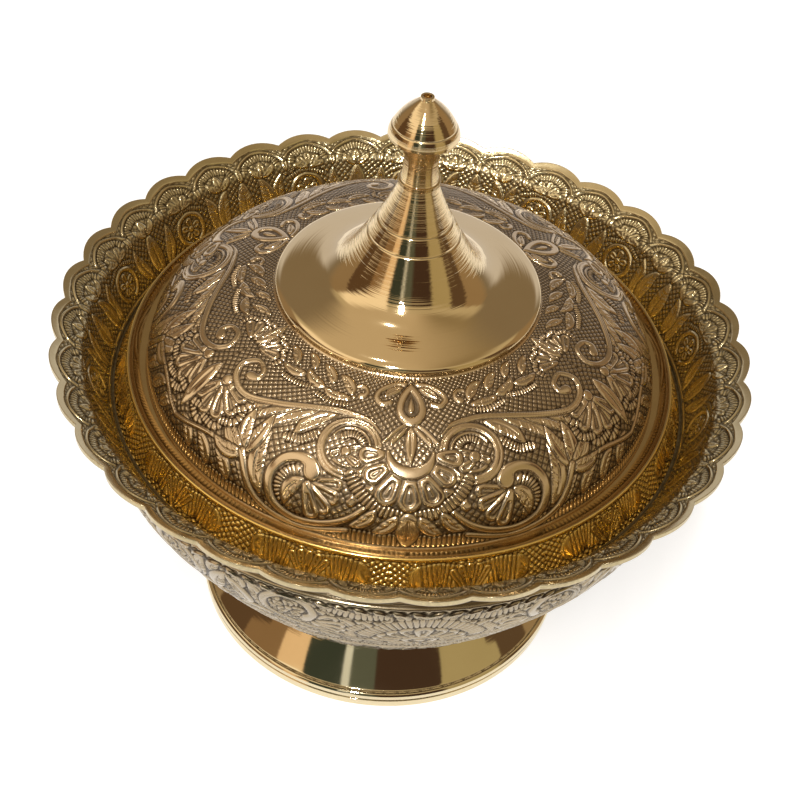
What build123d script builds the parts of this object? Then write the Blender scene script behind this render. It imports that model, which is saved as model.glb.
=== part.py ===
from build123d import *
import math
import os

# Lidded candy dish of turned brass, 200 mm across the scallops of its rim.
# A round-bellied bowl with a flared, scalloped rim stands on a flared foot.
# A domed lid drops into the funnel of the rim and rests on a ledge in the neck.
# A bell-shaped finial with an acorn knob is drawn down on the lid by a stud.
# +Z is up, the origin is the middle of the foot's base, and all sizes are in mm.

# Rim and neck of the bowl
rim_radius = 100.0            # over the tips of the scallops
rim_height = 104.4            # tips of the scallops above the table
scallop_count = 35
scallop_depth = 2.2           # from tip to valley
scallop_turn = 0.9            # degrees from +X to the first tip
flare_width = 8.8             # from the tips in to the crease
flare_drop = 5.0              # from the tips down to the crease
crease_inner_radius = 2.0
crease_outer_radius = 3.5
neck_radius = 84.0            # inside the foot of the funnel
neck_depth = 19.5             # from the tips down to the ledge
ledge_width = 2.5
ledge_thickness = 2.5

# Belly of the bowl
bowl_wall = 1.6
belly_radius = 88.3           # widest, just under the neck
belly_drop = 2.5              # of the widest place below the ledge
belly_mid_radius = 75.9
belly_mid_rise = 37.4         # above the floor of the belly
belly_low_radius = 62.6
belly_low_rise = 17.4         # above the floor of the belly
floor_radius = 47.0           # flat that sits on the foot
belly_foot_rise = 1.0         # slope of the belly where it leaves the flat
neck_fillet = 1.2

# Foot
foot_height = 17.0
foot_wall = 1.6
foot_radius = 58.6            # base ring
foot_ring_height = 2.5
foot_line_depth = 0.4         # turned line above the base ring
foot_line_width = 0.5
foot_bulge = 0.4              # of the rounded edge past the base ring
foot_bulge_height = 2.8
foot_bulge_widest = 0.4       # share of that height at which it is widest
foot_waist_rise = 5.2         # of the flank above the rounded edge, half way in
foot_waist_radius = 51.7

# Lid
lid_wall = 1.4
lid_clearance = 0.8           # between the skirt's foot and the neck
skirt_height = 9.9
skirt_flare = 4.1             # spread of the skirt from its ridge to its foot
ring_width = 5.1              # hollow ring between the ridge and the dome
ring_depth = 2.9
ring_sag_place = 0.55         # share of the width at which the ring's arc is set
ring_sag_rise = 0.12          # share of the depth, above the dome's foot, there
ridge_width = 0.8
dome_wall_rise = 5.7          # steep foot of the dome, above the hollow ring
dome_wall_lean = 1.0
shoulder_radius = 64.8
shoulder_rise = 24.6          # above the ledge
crown_rise = 34.2             # above the ledge
crown_margin = 0.5            # of the flat crown past the bell

# Finial
bell_radius = 37.4
bell_wall = 1.6
bell_lip = 1.0                # upright edge of the bell on the crown
bell_shoulder_radius = 33.6
bell_shoulder_rise = 3.5
bell_brim_radius = 22.0
bell_brim_rise = 7.1
cone_radius = 15.4
cone_rise = 15.2
cone_top_radius = 5.2
cone_top_rise = 35.8
cone_hollow_share = 0.6       # of the cone's rise that is hollow
collar_radius = 5.7           # small ridge between the cone and the neck
collar_height = 1.2
neck_waist_radius = 4.7
neck_waist_share = 0.45       # of the neck's height at which it is thinnest
finial_neck_height = 14.6
finial_neck_top_radius = 6.1
cone_line_rises = (19.7, 24.2)   # two turned lines on the cone
turned_line_depth = 0.3
turned_line_width = 0.5

# Knob
knob_radius = 9.4
knob_edge = 0.6               # upright band at the overhanging edge
knob_height = 10.6
knob_shoulder_radius = 8.6
knob_shoulder_rise = 3.0
knob_slope_radius = 6.0
knob_slope_rise = 6.9
knob_tip_radius = 1.8
knob_lip_height = 0.9
knob_eye_radius = 1.1
knob_eye_depth = 1.8
knob_line_rise = 4.3

# Fastenings
screw_clearance = 0.1         # between a stud or screw and its holes
end_chamfer = 0.4
stud_radius = 1.8
stud_in_knob = 6.0
stud_below_nut = 1.2
stud_washer_radius = 4.5
stud_washer_thickness = 0.8
stud_nut_flats = 7.0
stud_nut_thickness = 3.2
foot_screw_radius = 1.8
foot_screw_head_radius = 4.5
foot_screw_head_height = 2.4
foot_screw_below_nut = 1.2
foot_washer_radius = 5.0
foot_washer_thickness = 1.0
foot_nut_flats = 7.0
foot_nut_thickness = 4.0

# Heights that follow
ledge_height = rim_height - neck_depth
crown_height = ledge_height + crown_rise
neck_foot_height = crown_height + cone_top_rise
knob_foot_height = neck_foot_height + finial_neck_height
bowl_floor_top = foot_height + bowl_wall

ON_TOP = (Align.CENTER, Align.CENTER, Align.MIN)


def turned(outline):
    """Solid of revolution about Z of a closed outline drawn as (radius, height)."""
    return revolve(Plane.XZ * Face(Wire(outline)), Axis.Z)


def beside(curve, gap, stations=9):
    """Curve that keeps a steady gap to the left of another one."""
    points = []
    for n in range(stations):
        t = n / (stations - 1)
        along = curve % t
        points.append(curve @ t + Vector(-along.Y, along.X) * gap)
    return Spline(points, tangents=[curve % 0, curve % 1])


def rod(radius, low, high):
    """Upright round bar between two heights."""
    return Pos(0, 0, low) * Cylinder(radius, high - low, align=ON_TOP)


def polar(radius, degrees):
    """Point in the plane at a radius and an angle."""
    turn = math.radians(degrees)
    return (radius * math.cos(turn), radius * math.sin(turn))


def line_cut(radius, height, depth, width):
    """Ring that cuts a turned line of a depth into a surface of that radius."""
    outer = rod(radius + depth, height - width / 2, height + width / 2)
    return outer - rod(radius - depth, height - width, height + width)


def washer(hole_radius, outer_radius, low, high):
    """Flat ring under a nut."""
    return rod(outer_radius, low, high) - rod(hole_radius, low, high)


def nut(hole_radius, across_flats, low, high):
    """Six-sided nut with chamfered corners."""
    block = extrude(RegularPolygon(across_flats / 2, 6, major_radius=False), high - low)
    block = Pos(0, 0, low) * block
    corner = across_flats / 2 / math.cos(math.pi / 6)
    turned_corners = chamfer(rod(corner, low, high).edges(), end_chamfer)
    return (block & turned_corners) - rod(hole_radius, low, high)


# Bowl: belly, neck with its ledge, funnel and flared rim in one wall
def scalloped_edge():
    """Outline of the rim seen from above: one arc for each scallop."""
    pitch = 360 / scallop_count
    valley = rim_radius - scallop_depth
    lobes = []
    for n in range(scallop_count):
        tip = scallop_turn + n * pitch
        start = polar(valley, tip - pitch / 2)
        end = polar(valley, tip + pitch / 2)
        lobes.append(ThreePointArc(start, polar(rim_radius, tip), end))
    return Face(Wire(lobes))


def make_bowl():
    """Bowl with its scalloped rim and the hole for the foot's screw."""
    crease = Vector(rim_radius - flare_width, rim_height - flare_drop)
    neck = Vector(neck_radius, ledge_height)
    flare = Vector(flare_width, flare_drop).normalized()
    funnel = (crease - neck).normalized()
    below_flare = Vector(flare.Y, -flare.X) * bowl_wall
    behind_funnel = Vector(funnel.Y, -funnel.X) * bowl_wall
    past_tips = crease + flare * (flare_width * 1.2)
    widest = Vector(belly_radius, ledge_height - belly_drop)
    outer = Spline(
        (floor_radius, foot_height),
        (belly_low_radius, foot_height + belly_low_rise),
        (belly_mid_radius, foot_height + belly_mid_rise),
        widest,
        tangents=[(1, belly_foot_rise), (0.15, 1)],
    )
    inner = beside(outer, bowl_wall)
    behind_neck = neck + behind_funnel + funnel * belly_drop
    crease_below = crease + below_flare
    along = (crease_below - behind_neck).cross(funnel).Z / flare.cross(funnel).Z
    crease_below = crease_below - flare * along
    neck_turn = ThreePointArc(
        widest,
        (widest + behind_neck) / 2 + Vector(neck_fillet, neck_fillet) / 2,
        behind_neck,
    )
    rim = Polyline(
        behind_neck, crease_below, past_tips + below_flare, past_tips, crease, neck,
        (neck_radius - ledge_width, ledge_height),
        (neck_radius - ledge_width, ledge_height - ledge_thickness),
        inner @ 1,
    )
    floor = Polyline(
        inner @ 0, (floor_radius - 2 * bowl_wall, bowl_floor_top), (0, bowl_floor_top),
        (0, foot_height), (floor_radius, foot_height),
    )
    wall = Face(Wire([outer, neck_turn, *rim.edges(), inner, *floor.edges()]))
    for corner, radius in ((crease, crease_inner_radius), (crease_below, crease_outer_radius)):
        nearest = wall.vertices().sort_by_distance(corner)[0]
        wall = wall.fillet_2d(radius, [nearest])
    body = revolve(Plane.XZ * wall, Axis.Z)
    body = body & extrude(scalloped_edge(), rim_height + flare_drop)
    return body - rod(foot_screw_radius + screw_clearance, 0, rim_height)


# Foot: base ring, rounded edge and flared flank up to the flat under the bowl
def make_foot():
    """Flared foot, open below, with the hole for its screw."""
    line_top = foot_ring_height + foot_line_width
    bulge_top = line_top + foot_bulge_height
    line_radius = foot_radius - foot_line_depth
    bulge = ThreePointArc(
        (line_radius, line_top),
        (foot_radius + foot_bulge, line_top + foot_bulge_height * foot_bulge_widest),
        (foot_radius - foot_bulge_height / 2, bulge_top),
    )
    flank = ThreePointArc(
        (foot_radius - foot_bulge_height / 2, bulge_top),
        (foot_waist_radius, bulge_top + foot_waist_rise),
        (floor_radius, foot_height),
    )
    under = beside(flank, foot_wall)
    base_inside = foot_radius - 2 * foot_wall
    lower = Polyline(
        (line_radius, line_top), (line_radius, foot_ring_height),
        (foot_radius, foot_ring_height), (foot_radius, 0), (base_inside, 0),
        (base_inside, line_top), under @ 0,
    )
    plate_bottom = foot_height - foot_wall
    upper = Polyline((0, plate_bottom), (0, foot_height), (floor_radius, foot_height))
    plate = Polyline(
        under @ 1, (floor_radius - 2 * foot_wall, plate_bottom), (0, plate_bottom)
    )
    body = turned([*lower.edges(), bulge, flank, *upper.edges(), *plate.edges(), under])
    return body - rod(foot_screw_radius + screw_clearance, 0, 2 * foot_height)


# Lid: skirt, ridge, hollow ring and dome in one wall
def make_lid():
    """Domed lid with a flat crown for the finial."""
    skirt_foot = neck_radius - lid_clearance
    ridge = skirt_foot - skirt_flare
    ridge_height = ledge_height + skirt_height
    ring_height = ridge_height - ring_depth
    dome_foot = ridge - ring_width
    crown_radius = bell_radius + crown_margin
    dome = Spline(
        (dome_foot, ring_height),
        (dome_foot - dome_wall_lean, ring_height + dome_wall_rise),
        (shoulder_radius, ledge_height + shoulder_rise),
        (crown_radius, crown_height),
        tangents=[(-dome_wall_lean, dome_wall_rise), (-1, 0.2)],
    )
    inside = beside(dome, lid_wall)
    ring = ThreePointArc(
        (ridge - ridge_width, ridge_height),
        (ridge - ring_width * ring_sag_place, ring_height + ring_depth * ring_sag_rise),
        (dome_foot, ring_height),
    )
    under = ring_height - lid_wall
    lean = skirt_flare / skirt_height
    skirt_inside = skirt_foot - lid_wall
    skirt_meets_ring = skirt_inside - lean * (under - ledge_height)
    lower = Polyline(
        inside @ 0, (dome_foot - lid_wall, under), (skirt_meets_ring, under),
        (skirt_inside, ledge_height), (skirt_foot, ledge_height), (ridge, ridge_height),
        (ridge - ridge_width, ridge_height),
    )
    crown = Polyline(
        (crown_radius, crown_height), (0, crown_height),
        (0, crown_height - lid_wall), inside @ 1,
    )
    body = turned([*lower.edges(), ring, dome, *crown.edges(), inside])
    return body - rod(stud_radius + screw_clearance, 0, 2 * crown_height)


# Finial: hollow bell and cone, then a solid neck that carries the knob
def make_bell():
    """Bell, cone and waisted neck with the hole for the stud."""
    base = crown_height
    brim = Spline(
        (bell_radius, base + bell_lip),
        (bell_shoulder_radius, base + bell_shoulder_rise),
        (bell_brim_radius, base + bell_brim_rise),
        (cone_radius, base + cone_rise),
        (cone_top_radius, base + cone_top_rise),
        tangents=[(0, 1), (-0.35, 1)],
    )
    collar = Polyline(
        (cone_top_radius, neck_foot_height), (collar_radius, neck_foot_height),
        (collar_radius, neck_foot_height + collar_height),
        (cone_top_radius, neck_foot_height + collar_height),
    )
    neck = ThreePointArc(
        (cone_top_radius, neck_foot_height + collar_height),
        (neck_waist_radius, neck_foot_height + finial_neck_height * neck_waist_share),
        (finial_neck_top_radius, knob_foot_height),
    )
    axis = Polyline(
        (finial_neck_top_radius, knob_foot_height), (0, knob_foot_height), (0, base),
        (bell_radius, base), (bell_radius, base + bell_lip),
    )
    body = turned([brim, *collar.edges(), neck, *axis.edges()])
    hollow_top = base + cone_top_rise * cone_hollow_share
    hollow = Spline(
        (bell_radius - 2 * bell_wall, base),
        (bell_shoulder_radius - bell_wall, base + bell_shoulder_rise - bell_wall),
        (bell_brim_radius - bell_wall, base + bell_brim_rise - bell_wall),
        (cone_radius - 2 * bell_wall, base + cone_rise),
        (stud_radius + 2 * bell_wall, hollow_top),
    )
    core = Polyline(hollow @ 1, (0, hollow_top), (0, base), hollow @ 0)
    body = body - turned([hollow, *core.edges()])
    for rise in cone_line_rises:
        height = base + rise
        radius = max(edge_radius(brim, height), cone_top_radius)
        body = body - line_cut(radius, height, turned_line_depth, turned_line_width)
    return body - rod(stud_radius + screw_clearance, 0, knob_foot_height)


def edge_radius(curve, height, steps=40):
    """Radius of a falling outline at a height, found by halving."""
    low, high = 0.0, 1.0
    for _ in range(steps):
        middle = (low + high) / 2
        if (curve @ middle).Y < height:
            low = middle
        else:
            high = middle
    return (curve @ low).X


def make_knob():
    """Acorn knob with an overhanging edge, a turned line and an eye at its tip."""
    base = knob_foot_height
    lip_height = base + knob_height + knob_lip_height
    cap = Spline(
        (knob_radius, base + knob_edge),
        (knob_shoulder_radius, base + knob_shoulder_rise),
        (knob_slope_radius, base + knob_slope_rise),
        (knob_tip_radius, base + knob_height),
        tangents=[(0, 1), (-1, 0.7)],
    )
    rest = Polyline(
        (knob_tip_radius, base + knob_height), (knob_tip_radius, lip_height),
        (0, lip_height), (0, base), (knob_radius, base), (knob_radius, base + knob_edge),
    )
    body = turned([cap, *rest.edges()])
    line_height = base + knob_line_rise
    line_radius = edge_radius(cap, line_height)
    body = body - line_cut(line_radius, line_height, turned_line_depth, turned_line_width)
    body = body - rod(knob_eye_radius, lip_height - knob_eye_depth, lip_height)
    socket_top = base + stud_in_knob + screw_clearance
    return body - rod(stud_radius + screw_clearance, base, socket_top)


# Fastenings of the finial, drawn up under the lid's crown
stud_washer_low = crown_height - lid_wall - stud_washer_thickness
stud_nut_low = stud_washer_low - stud_nut_thickness


def make_stud():
    """Stud from inside the knob to below its nut."""
    low = stud_nut_low - stud_below_nut
    bar = rod(stud_radius, low, knob_foot_height + stud_in_knob)
    return chamfer(bar.edges(), end_chamfer)


# Fastenings of the foot, drawn up under its top plate
foot_washer_low = foot_height - foot_wall - foot_washer_thickness
foot_nut_low = foot_washer_low - foot_nut_thickness


def make_foot_screw():
    """Screw with a low round head on the floor of the bowl."""
    shank = rod(foot_screw_radius, foot_nut_low - foot_screw_below_nut, bowl_floor_top)
    head = rod(foot_screw_head_radius, bowl_floor_top, bowl_floor_top + foot_screw_head_height)
    head = fillet(head.edges().sort_by(Axis.Z)[-1], foot_screw_head_height * 0.6)
    return head + chamfer(shank.edges().sort_by(Axis.Z)[0], end_chamfer)


stud_hole = stud_radius + screw_clearance
foot_screw_hole = foot_screw_radius + screw_clearance
stud_washer_high = stud_washer_low + stud_washer_thickness
foot_washer_high = foot_washer_low + foot_washer_thickness

pieces = {
    "bowl": make_bowl(),
    "foot": make_foot(),
    "foot_screw": make_foot_screw(),
    "foot_washer": washer(
        foot_screw_hole, foot_washer_radius, foot_washer_low, foot_washer_high),
    "foot_nut": nut(foot_screw_hole, foot_nut_flats, foot_nut_low, foot_washer_low),
    "lid": make_lid(),
    "finial_bell": make_bell(),
    "finial_knob": make_knob(),
    "finial_stud": make_stud(),
    "finial_washer": washer(
        stud_hole, stud_washer_radius, stud_washer_low, stud_washer_high),
    "finial_nut": nut(stud_hole, stud_nut_flats, stud_nut_low, stud_washer_low),
}

os.makedirs("parts", exist_ok=True)
for name, piece in pieces.items():
    export_step(piece, "parts/" + name + ".step")
    print(name, round(piece.volume), "mm3")
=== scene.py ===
"""Lidded candy dish of engraved brass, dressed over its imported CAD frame.

The dish is a round bowl with a flared, scalloped rim on a flared foot, under a
domed lid with a spun finial. The chased ornament is real relief: each engraved
surface is a fine turned grid that a drawing board sinks below the metal.
Sizes are in mm in the classes below, and in metres in Blender.
"""
import logging
import math
from dataclasses import dataclass, field
from enum import Enum
from typing import Callable, Optional, Sequence

import bpy
import numpy as np
from mathutils import Matrix, Vector


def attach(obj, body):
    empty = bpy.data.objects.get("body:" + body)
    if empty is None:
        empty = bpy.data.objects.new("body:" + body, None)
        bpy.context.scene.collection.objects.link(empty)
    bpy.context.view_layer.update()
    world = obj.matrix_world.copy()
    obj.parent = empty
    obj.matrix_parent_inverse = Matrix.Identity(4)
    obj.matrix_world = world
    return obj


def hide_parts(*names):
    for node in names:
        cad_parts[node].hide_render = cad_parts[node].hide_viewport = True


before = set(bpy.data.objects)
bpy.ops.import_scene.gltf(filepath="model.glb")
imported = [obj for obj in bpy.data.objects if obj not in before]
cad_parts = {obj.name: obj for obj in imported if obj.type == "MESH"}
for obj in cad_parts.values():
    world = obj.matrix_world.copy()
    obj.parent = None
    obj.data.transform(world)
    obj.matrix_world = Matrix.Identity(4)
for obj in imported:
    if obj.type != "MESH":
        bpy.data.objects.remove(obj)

LOG = logging.getLogger("candy_dish")
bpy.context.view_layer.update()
MM = 0.001
Pair = tuple[float, float]
Colour = tuple[float, float, float]
Window = tuple[slice, slice]
Edge = Callable[[np.ndarray, np.ndarray, np.ndarray], tuple[np.ndarray, np.ndarray]]
TINY = 1e-9


def smoothstep(value: np.ndarray, low: float, high: float) -> np.ndarray:
    """Eased step from 0 at low to 1 at high."""
    share = np.clip((value - low) / (high - low), 0.0, 1.0)
    return share * share * (3.0 - 2.0 * share)


def lengths_along(path: np.ndarray) -> np.ndarray:
    """Length of a path from its start to each of its points."""
    return np.concatenate([[0.0], np.cumsum(np.linalg.norm(np.diff(path, axis=0), axis=1))])


def places_on(path: np.ndarray, lengths: np.ndarray, marks: np.ndarray | float) -> np.ndarray:
    """Places on a path at set lengths from its start."""
    return np.column_stack([np.interp(marks, lengths, path[:, k]) for k in (0, 1)])


def left_of(path: np.ndarray) -> np.ndarray:
    """Finds which way is left along a path.

    Args:
        path: Points as (x, y) rows.

    Returns:
        A step of length 1 to the left of each point.
    """
    ways = np.gradient(path, axis=0)
    ways /= np.maximum(np.linalg.norm(ways, axis=1), TINY)[:, None]
    return np.column_stack([-ways[:, 1], ways[:, 0]])


def show(name: str, data: bpy.types.ID) -> bpy.types.Object:
    """Makes an object of a mesh, a lamp or a camera.

    Args:
        name: Name of the object.
        data: What it holds.

    Returns:
        The object, linked to the scene.
    """
    made = bpy.data.objects.new(name, data)
    bpy.context.scene.collection.objects.link(made)
    return made


def flow(points: Sequence[Pair], steps: int = 8) -> np.ndarray:
    """Runs a smooth line through points.

    Args:
        points: Places that the line passes, in order.
        steps: Short runs drawn between two neighbouring places.

    Returns:
        The line as an array of (x, y) rows.
    """
    knots = np.array(points, dtype=float)
    ends = np.vstack([2 * knots[0] - knots[1], knots, 2 * knots[-1] - knots[-2]])
    share = np.arange(steps)[:, None] / steps
    runs = []
    for before, start, stop, after in zip(ends, ends[1:], ends[2:], ends[3:]):
        runs.append(0.5 * (2 * start + (stop - before) * share
                           + (2 * before - 5 * start + 4 * stop - after) * share ** 2
                           + (3 * start - before - 3 * stop + after) * share ** 3))
    return np.vstack([*runs, knots[-1:]])


def around(centre: Pair, radius: float, start: float, stop: float,
           end_radius: Optional[float] = None, steps: int = 28) -> np.ndarray:
    """Draws an arc or a spiral on the board.

    Args:
        centre: Middle of the arc.
        radius: Distance from the middle at the start.
        start: First angle in degrees.
        stop: Last angle in degrees, past 360 for more turns.
        end_radius: Distance from the middle at the end, if it differs.
        steps: Number of short runs.

    Returns:
        The line as an array of (x, y) rows.
    """
    share = np.linspace(0.0, 1.0, steps + 1)
    angle = np.radians(start + (stop - start) * share)
    reach = radius + ((end_radius if end_radius is not None else radius) - radius) * share
    return np.column_stack([centre[0] + reach * np.cos(angle), centre[1] + reach * np.sin(angle)])


class Outline:
    """Edge of a turned wall, drawn from place to place as (radius, height) and closed.

    Every corner gets at least a hair of rounding, so that no two rows lie in one place.
    A rounding takes at most a share of the runs beside it.
    """

    least_soft: float = 0.03
    most_soft_share: float = 0.45
    corner_shares: tuple[float, ...] = (0.25, 0.5, 0.75)
    line_points: int = 60
    arc_points: int = 120
    curve_points: int = 80

    def __init__(self, start: Pair) -> None:
        """Sets the pencil down.

        Args:
            start: First place of the outline.
        """
        self.runs: list[np.ndarray] = []
        self.soft: list[float] = []
        self.spacing: list[float] = []
        self.end = np.array(start, dtype=float)

    def _add(self, run: np.ndarray, spacing: float, soft: float) -> "Outline":
        """Keeps one run.

        Args:
            run: Its points.
            spacing: Distance between rows of the mesh.
            soft: Rounding of the corner that follows.

        Returns:
            This outline.
        """
        self.runs.append(run)
        self.spacing.append(spacing)
        self.soft.append(max(soft, self.least_soft))
        self.end = run[-1]
        return self

    def line(self, place: Pair, spacing: float = 2.0, soft: float = 0.2) -> "Outline":
        """Draws a straight run to a place."""
        share = np.linspace(0.0, 1.0, self.line_points)[:, None]
        return self._add(self.end + (np.array(place) - self.end) * share, spacing, soft)

    def arc(self, middle: Pair, place: Pair, spacing: float = 1.0, soft: float = 0.2) -> "Outline":
        """Draws the circle's arc through a middle point to a place.

        Args:
            middle: A point that the arc passes.
            place: Where it ends.
            spacing: Distance between rows of the mesh.
            soft: Rounding of the corner that follows.

        Returns:
            This outline.
        """
        first, second, third = self.end, np.array(middle, dtype=float), np.array(place, dtype=float)
        across = np.array([second - first, third - first]) * 2.0
        level = np.array([second @ second - first @ first, third @ third - first @ first])
        centre = np.linalg.solve(across, level)
        turns = [math.atan2(*(p - centre)[::-1]) for p in (first, second, third)]
        whole = 2 * math.pi
        sweep, half = (turns[2] - turns[0]) % whole, (turns[1] - turns[0]) % whole
        sweep = sweep if half < sweep else sweep - whole
        angle = turns[0] + sweep * np.linspace(0.0, 1.0, self.arc_points)
        reach = np.linalg.norm(first - centre)
        run = centre + reach * np.column_stack([np.cos(angle), np.sin(angle)])
        return self._add(run, spacing, soft)

    def curve(self, places: Sequence[Pair], leave: Pair, arrive: Pair,
              spacing: float = 1.0, soft: float = 0.2) -> "Outline":
        """Draws a smooth curve through places with set end directions.

        Args:
            places: Places after the present one, in order.
            leave: Direction at the start.
            arrive: Direction at the end.
            spacing: Distance between rows of the mesh.
            soft: Rounding of the corner that follows.

        Returns:
            This outline.
        """
        knots = np.vstack([self.end, np.array(places, dtype=float)])
        spans = np.linalg.norm(np.diff(knots, axis=0), axis=1)
        count = len(knots)
        left, right = np.eye(count), np.zeros((count, 2))
        right[0] = np.array(leave) / np.linalg.norm(leave)
        right[-1] = np.array(arrive) / np.linalg.norm(arrive)
        for n in range(1, count - 1):
            before, after = spans[n - 1], spans[n]
            left[n, n - 1:n + 2] = (1 / before, 2 / before + 2 / after, 1 / after)
            right[n] = 3 * ((knots[n] - knots[n - 1]) / before ** 2
                            + (knots[n + 1] - knots[n]) / after ** 2)
        slopes = np.linalg.solve(left, right)
        share = np.linspace(0.0, 1.0, self.curve_points)[:, None]
        runs = []
        for n, span in enumerate(spans):
            runs.append((1 + 2 * share) * (1 - share) ** 2 * knots[n]
                        + share * (1 - share) ** 2 * span * slopes[n]
                        + share ** 2 * (3 - 2 * share) * knots[n + 1]
                        + share ** 2 * (share - 1) * span * slopes[n + 1])
        return self._add(np.vstack([run[:-1] for run in runs] + [knots[-1:]]), spacing, soft)

    def beside(self, number: int, gap: float, spacing: float = 1.0, soft: float = 0.2) -> "Outline":
        """Goes back along an earlier run, to its left at a steady gap.

        Args:
            number: Which run.
            gap: Thickness of the wall between the two.
            spacing: Distance between rows of the mesh.
            soft: Rounding of the corner that follows.

        Returns:
            This outline.
        """
        run = self.runs[number]
        inner = (run + left_of(run) * gap)[::-1]
        self.line(tuple(inner[0]), spacing, 0.0)
        return self._add(inner, spacing, soft)

    def rows(self) -> tuple[np.ndarray, np.ndarray]:
        """Divides the outline, whose last run ends where the first began, into rows.

        Returns:
            The rows as (radius, height), and the number of the run that each is on.
        """
        share = np.array(self.corner_shares)[:, None]
        places, owners = [], []
        for n, run in enumerate(self.runs):
            lengths = lengths_along(run)
            most = lengths[-1] * self.most_soft_share
            first, last = min(self.soft[n - 1], most), min(self.soft[n], most)
            count = int((lengths[-1] - first - last) / self.spacing[n]) + 2
            body = places_on(run, lengths, np.linspace(first, lengths[-1] - last, count))
            after = self.runs[(n + 1) % len(self.runs)]
            ahead = lengths_along(after)
            beyond = places_on(after, ahead, min(self.soft[n], ahead[-1] * self.most_soft_share))
            corner = (1 - share) ** 2 * body[-1] + 2 * share * (1 - share) * run[-1] + share ** 2 * beyond
            places += [body, corner]
            owners += [np.full(len(body), n), np.full(len(corner), n)]
        return np.vstack(places), np.concatenate(owners)


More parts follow.
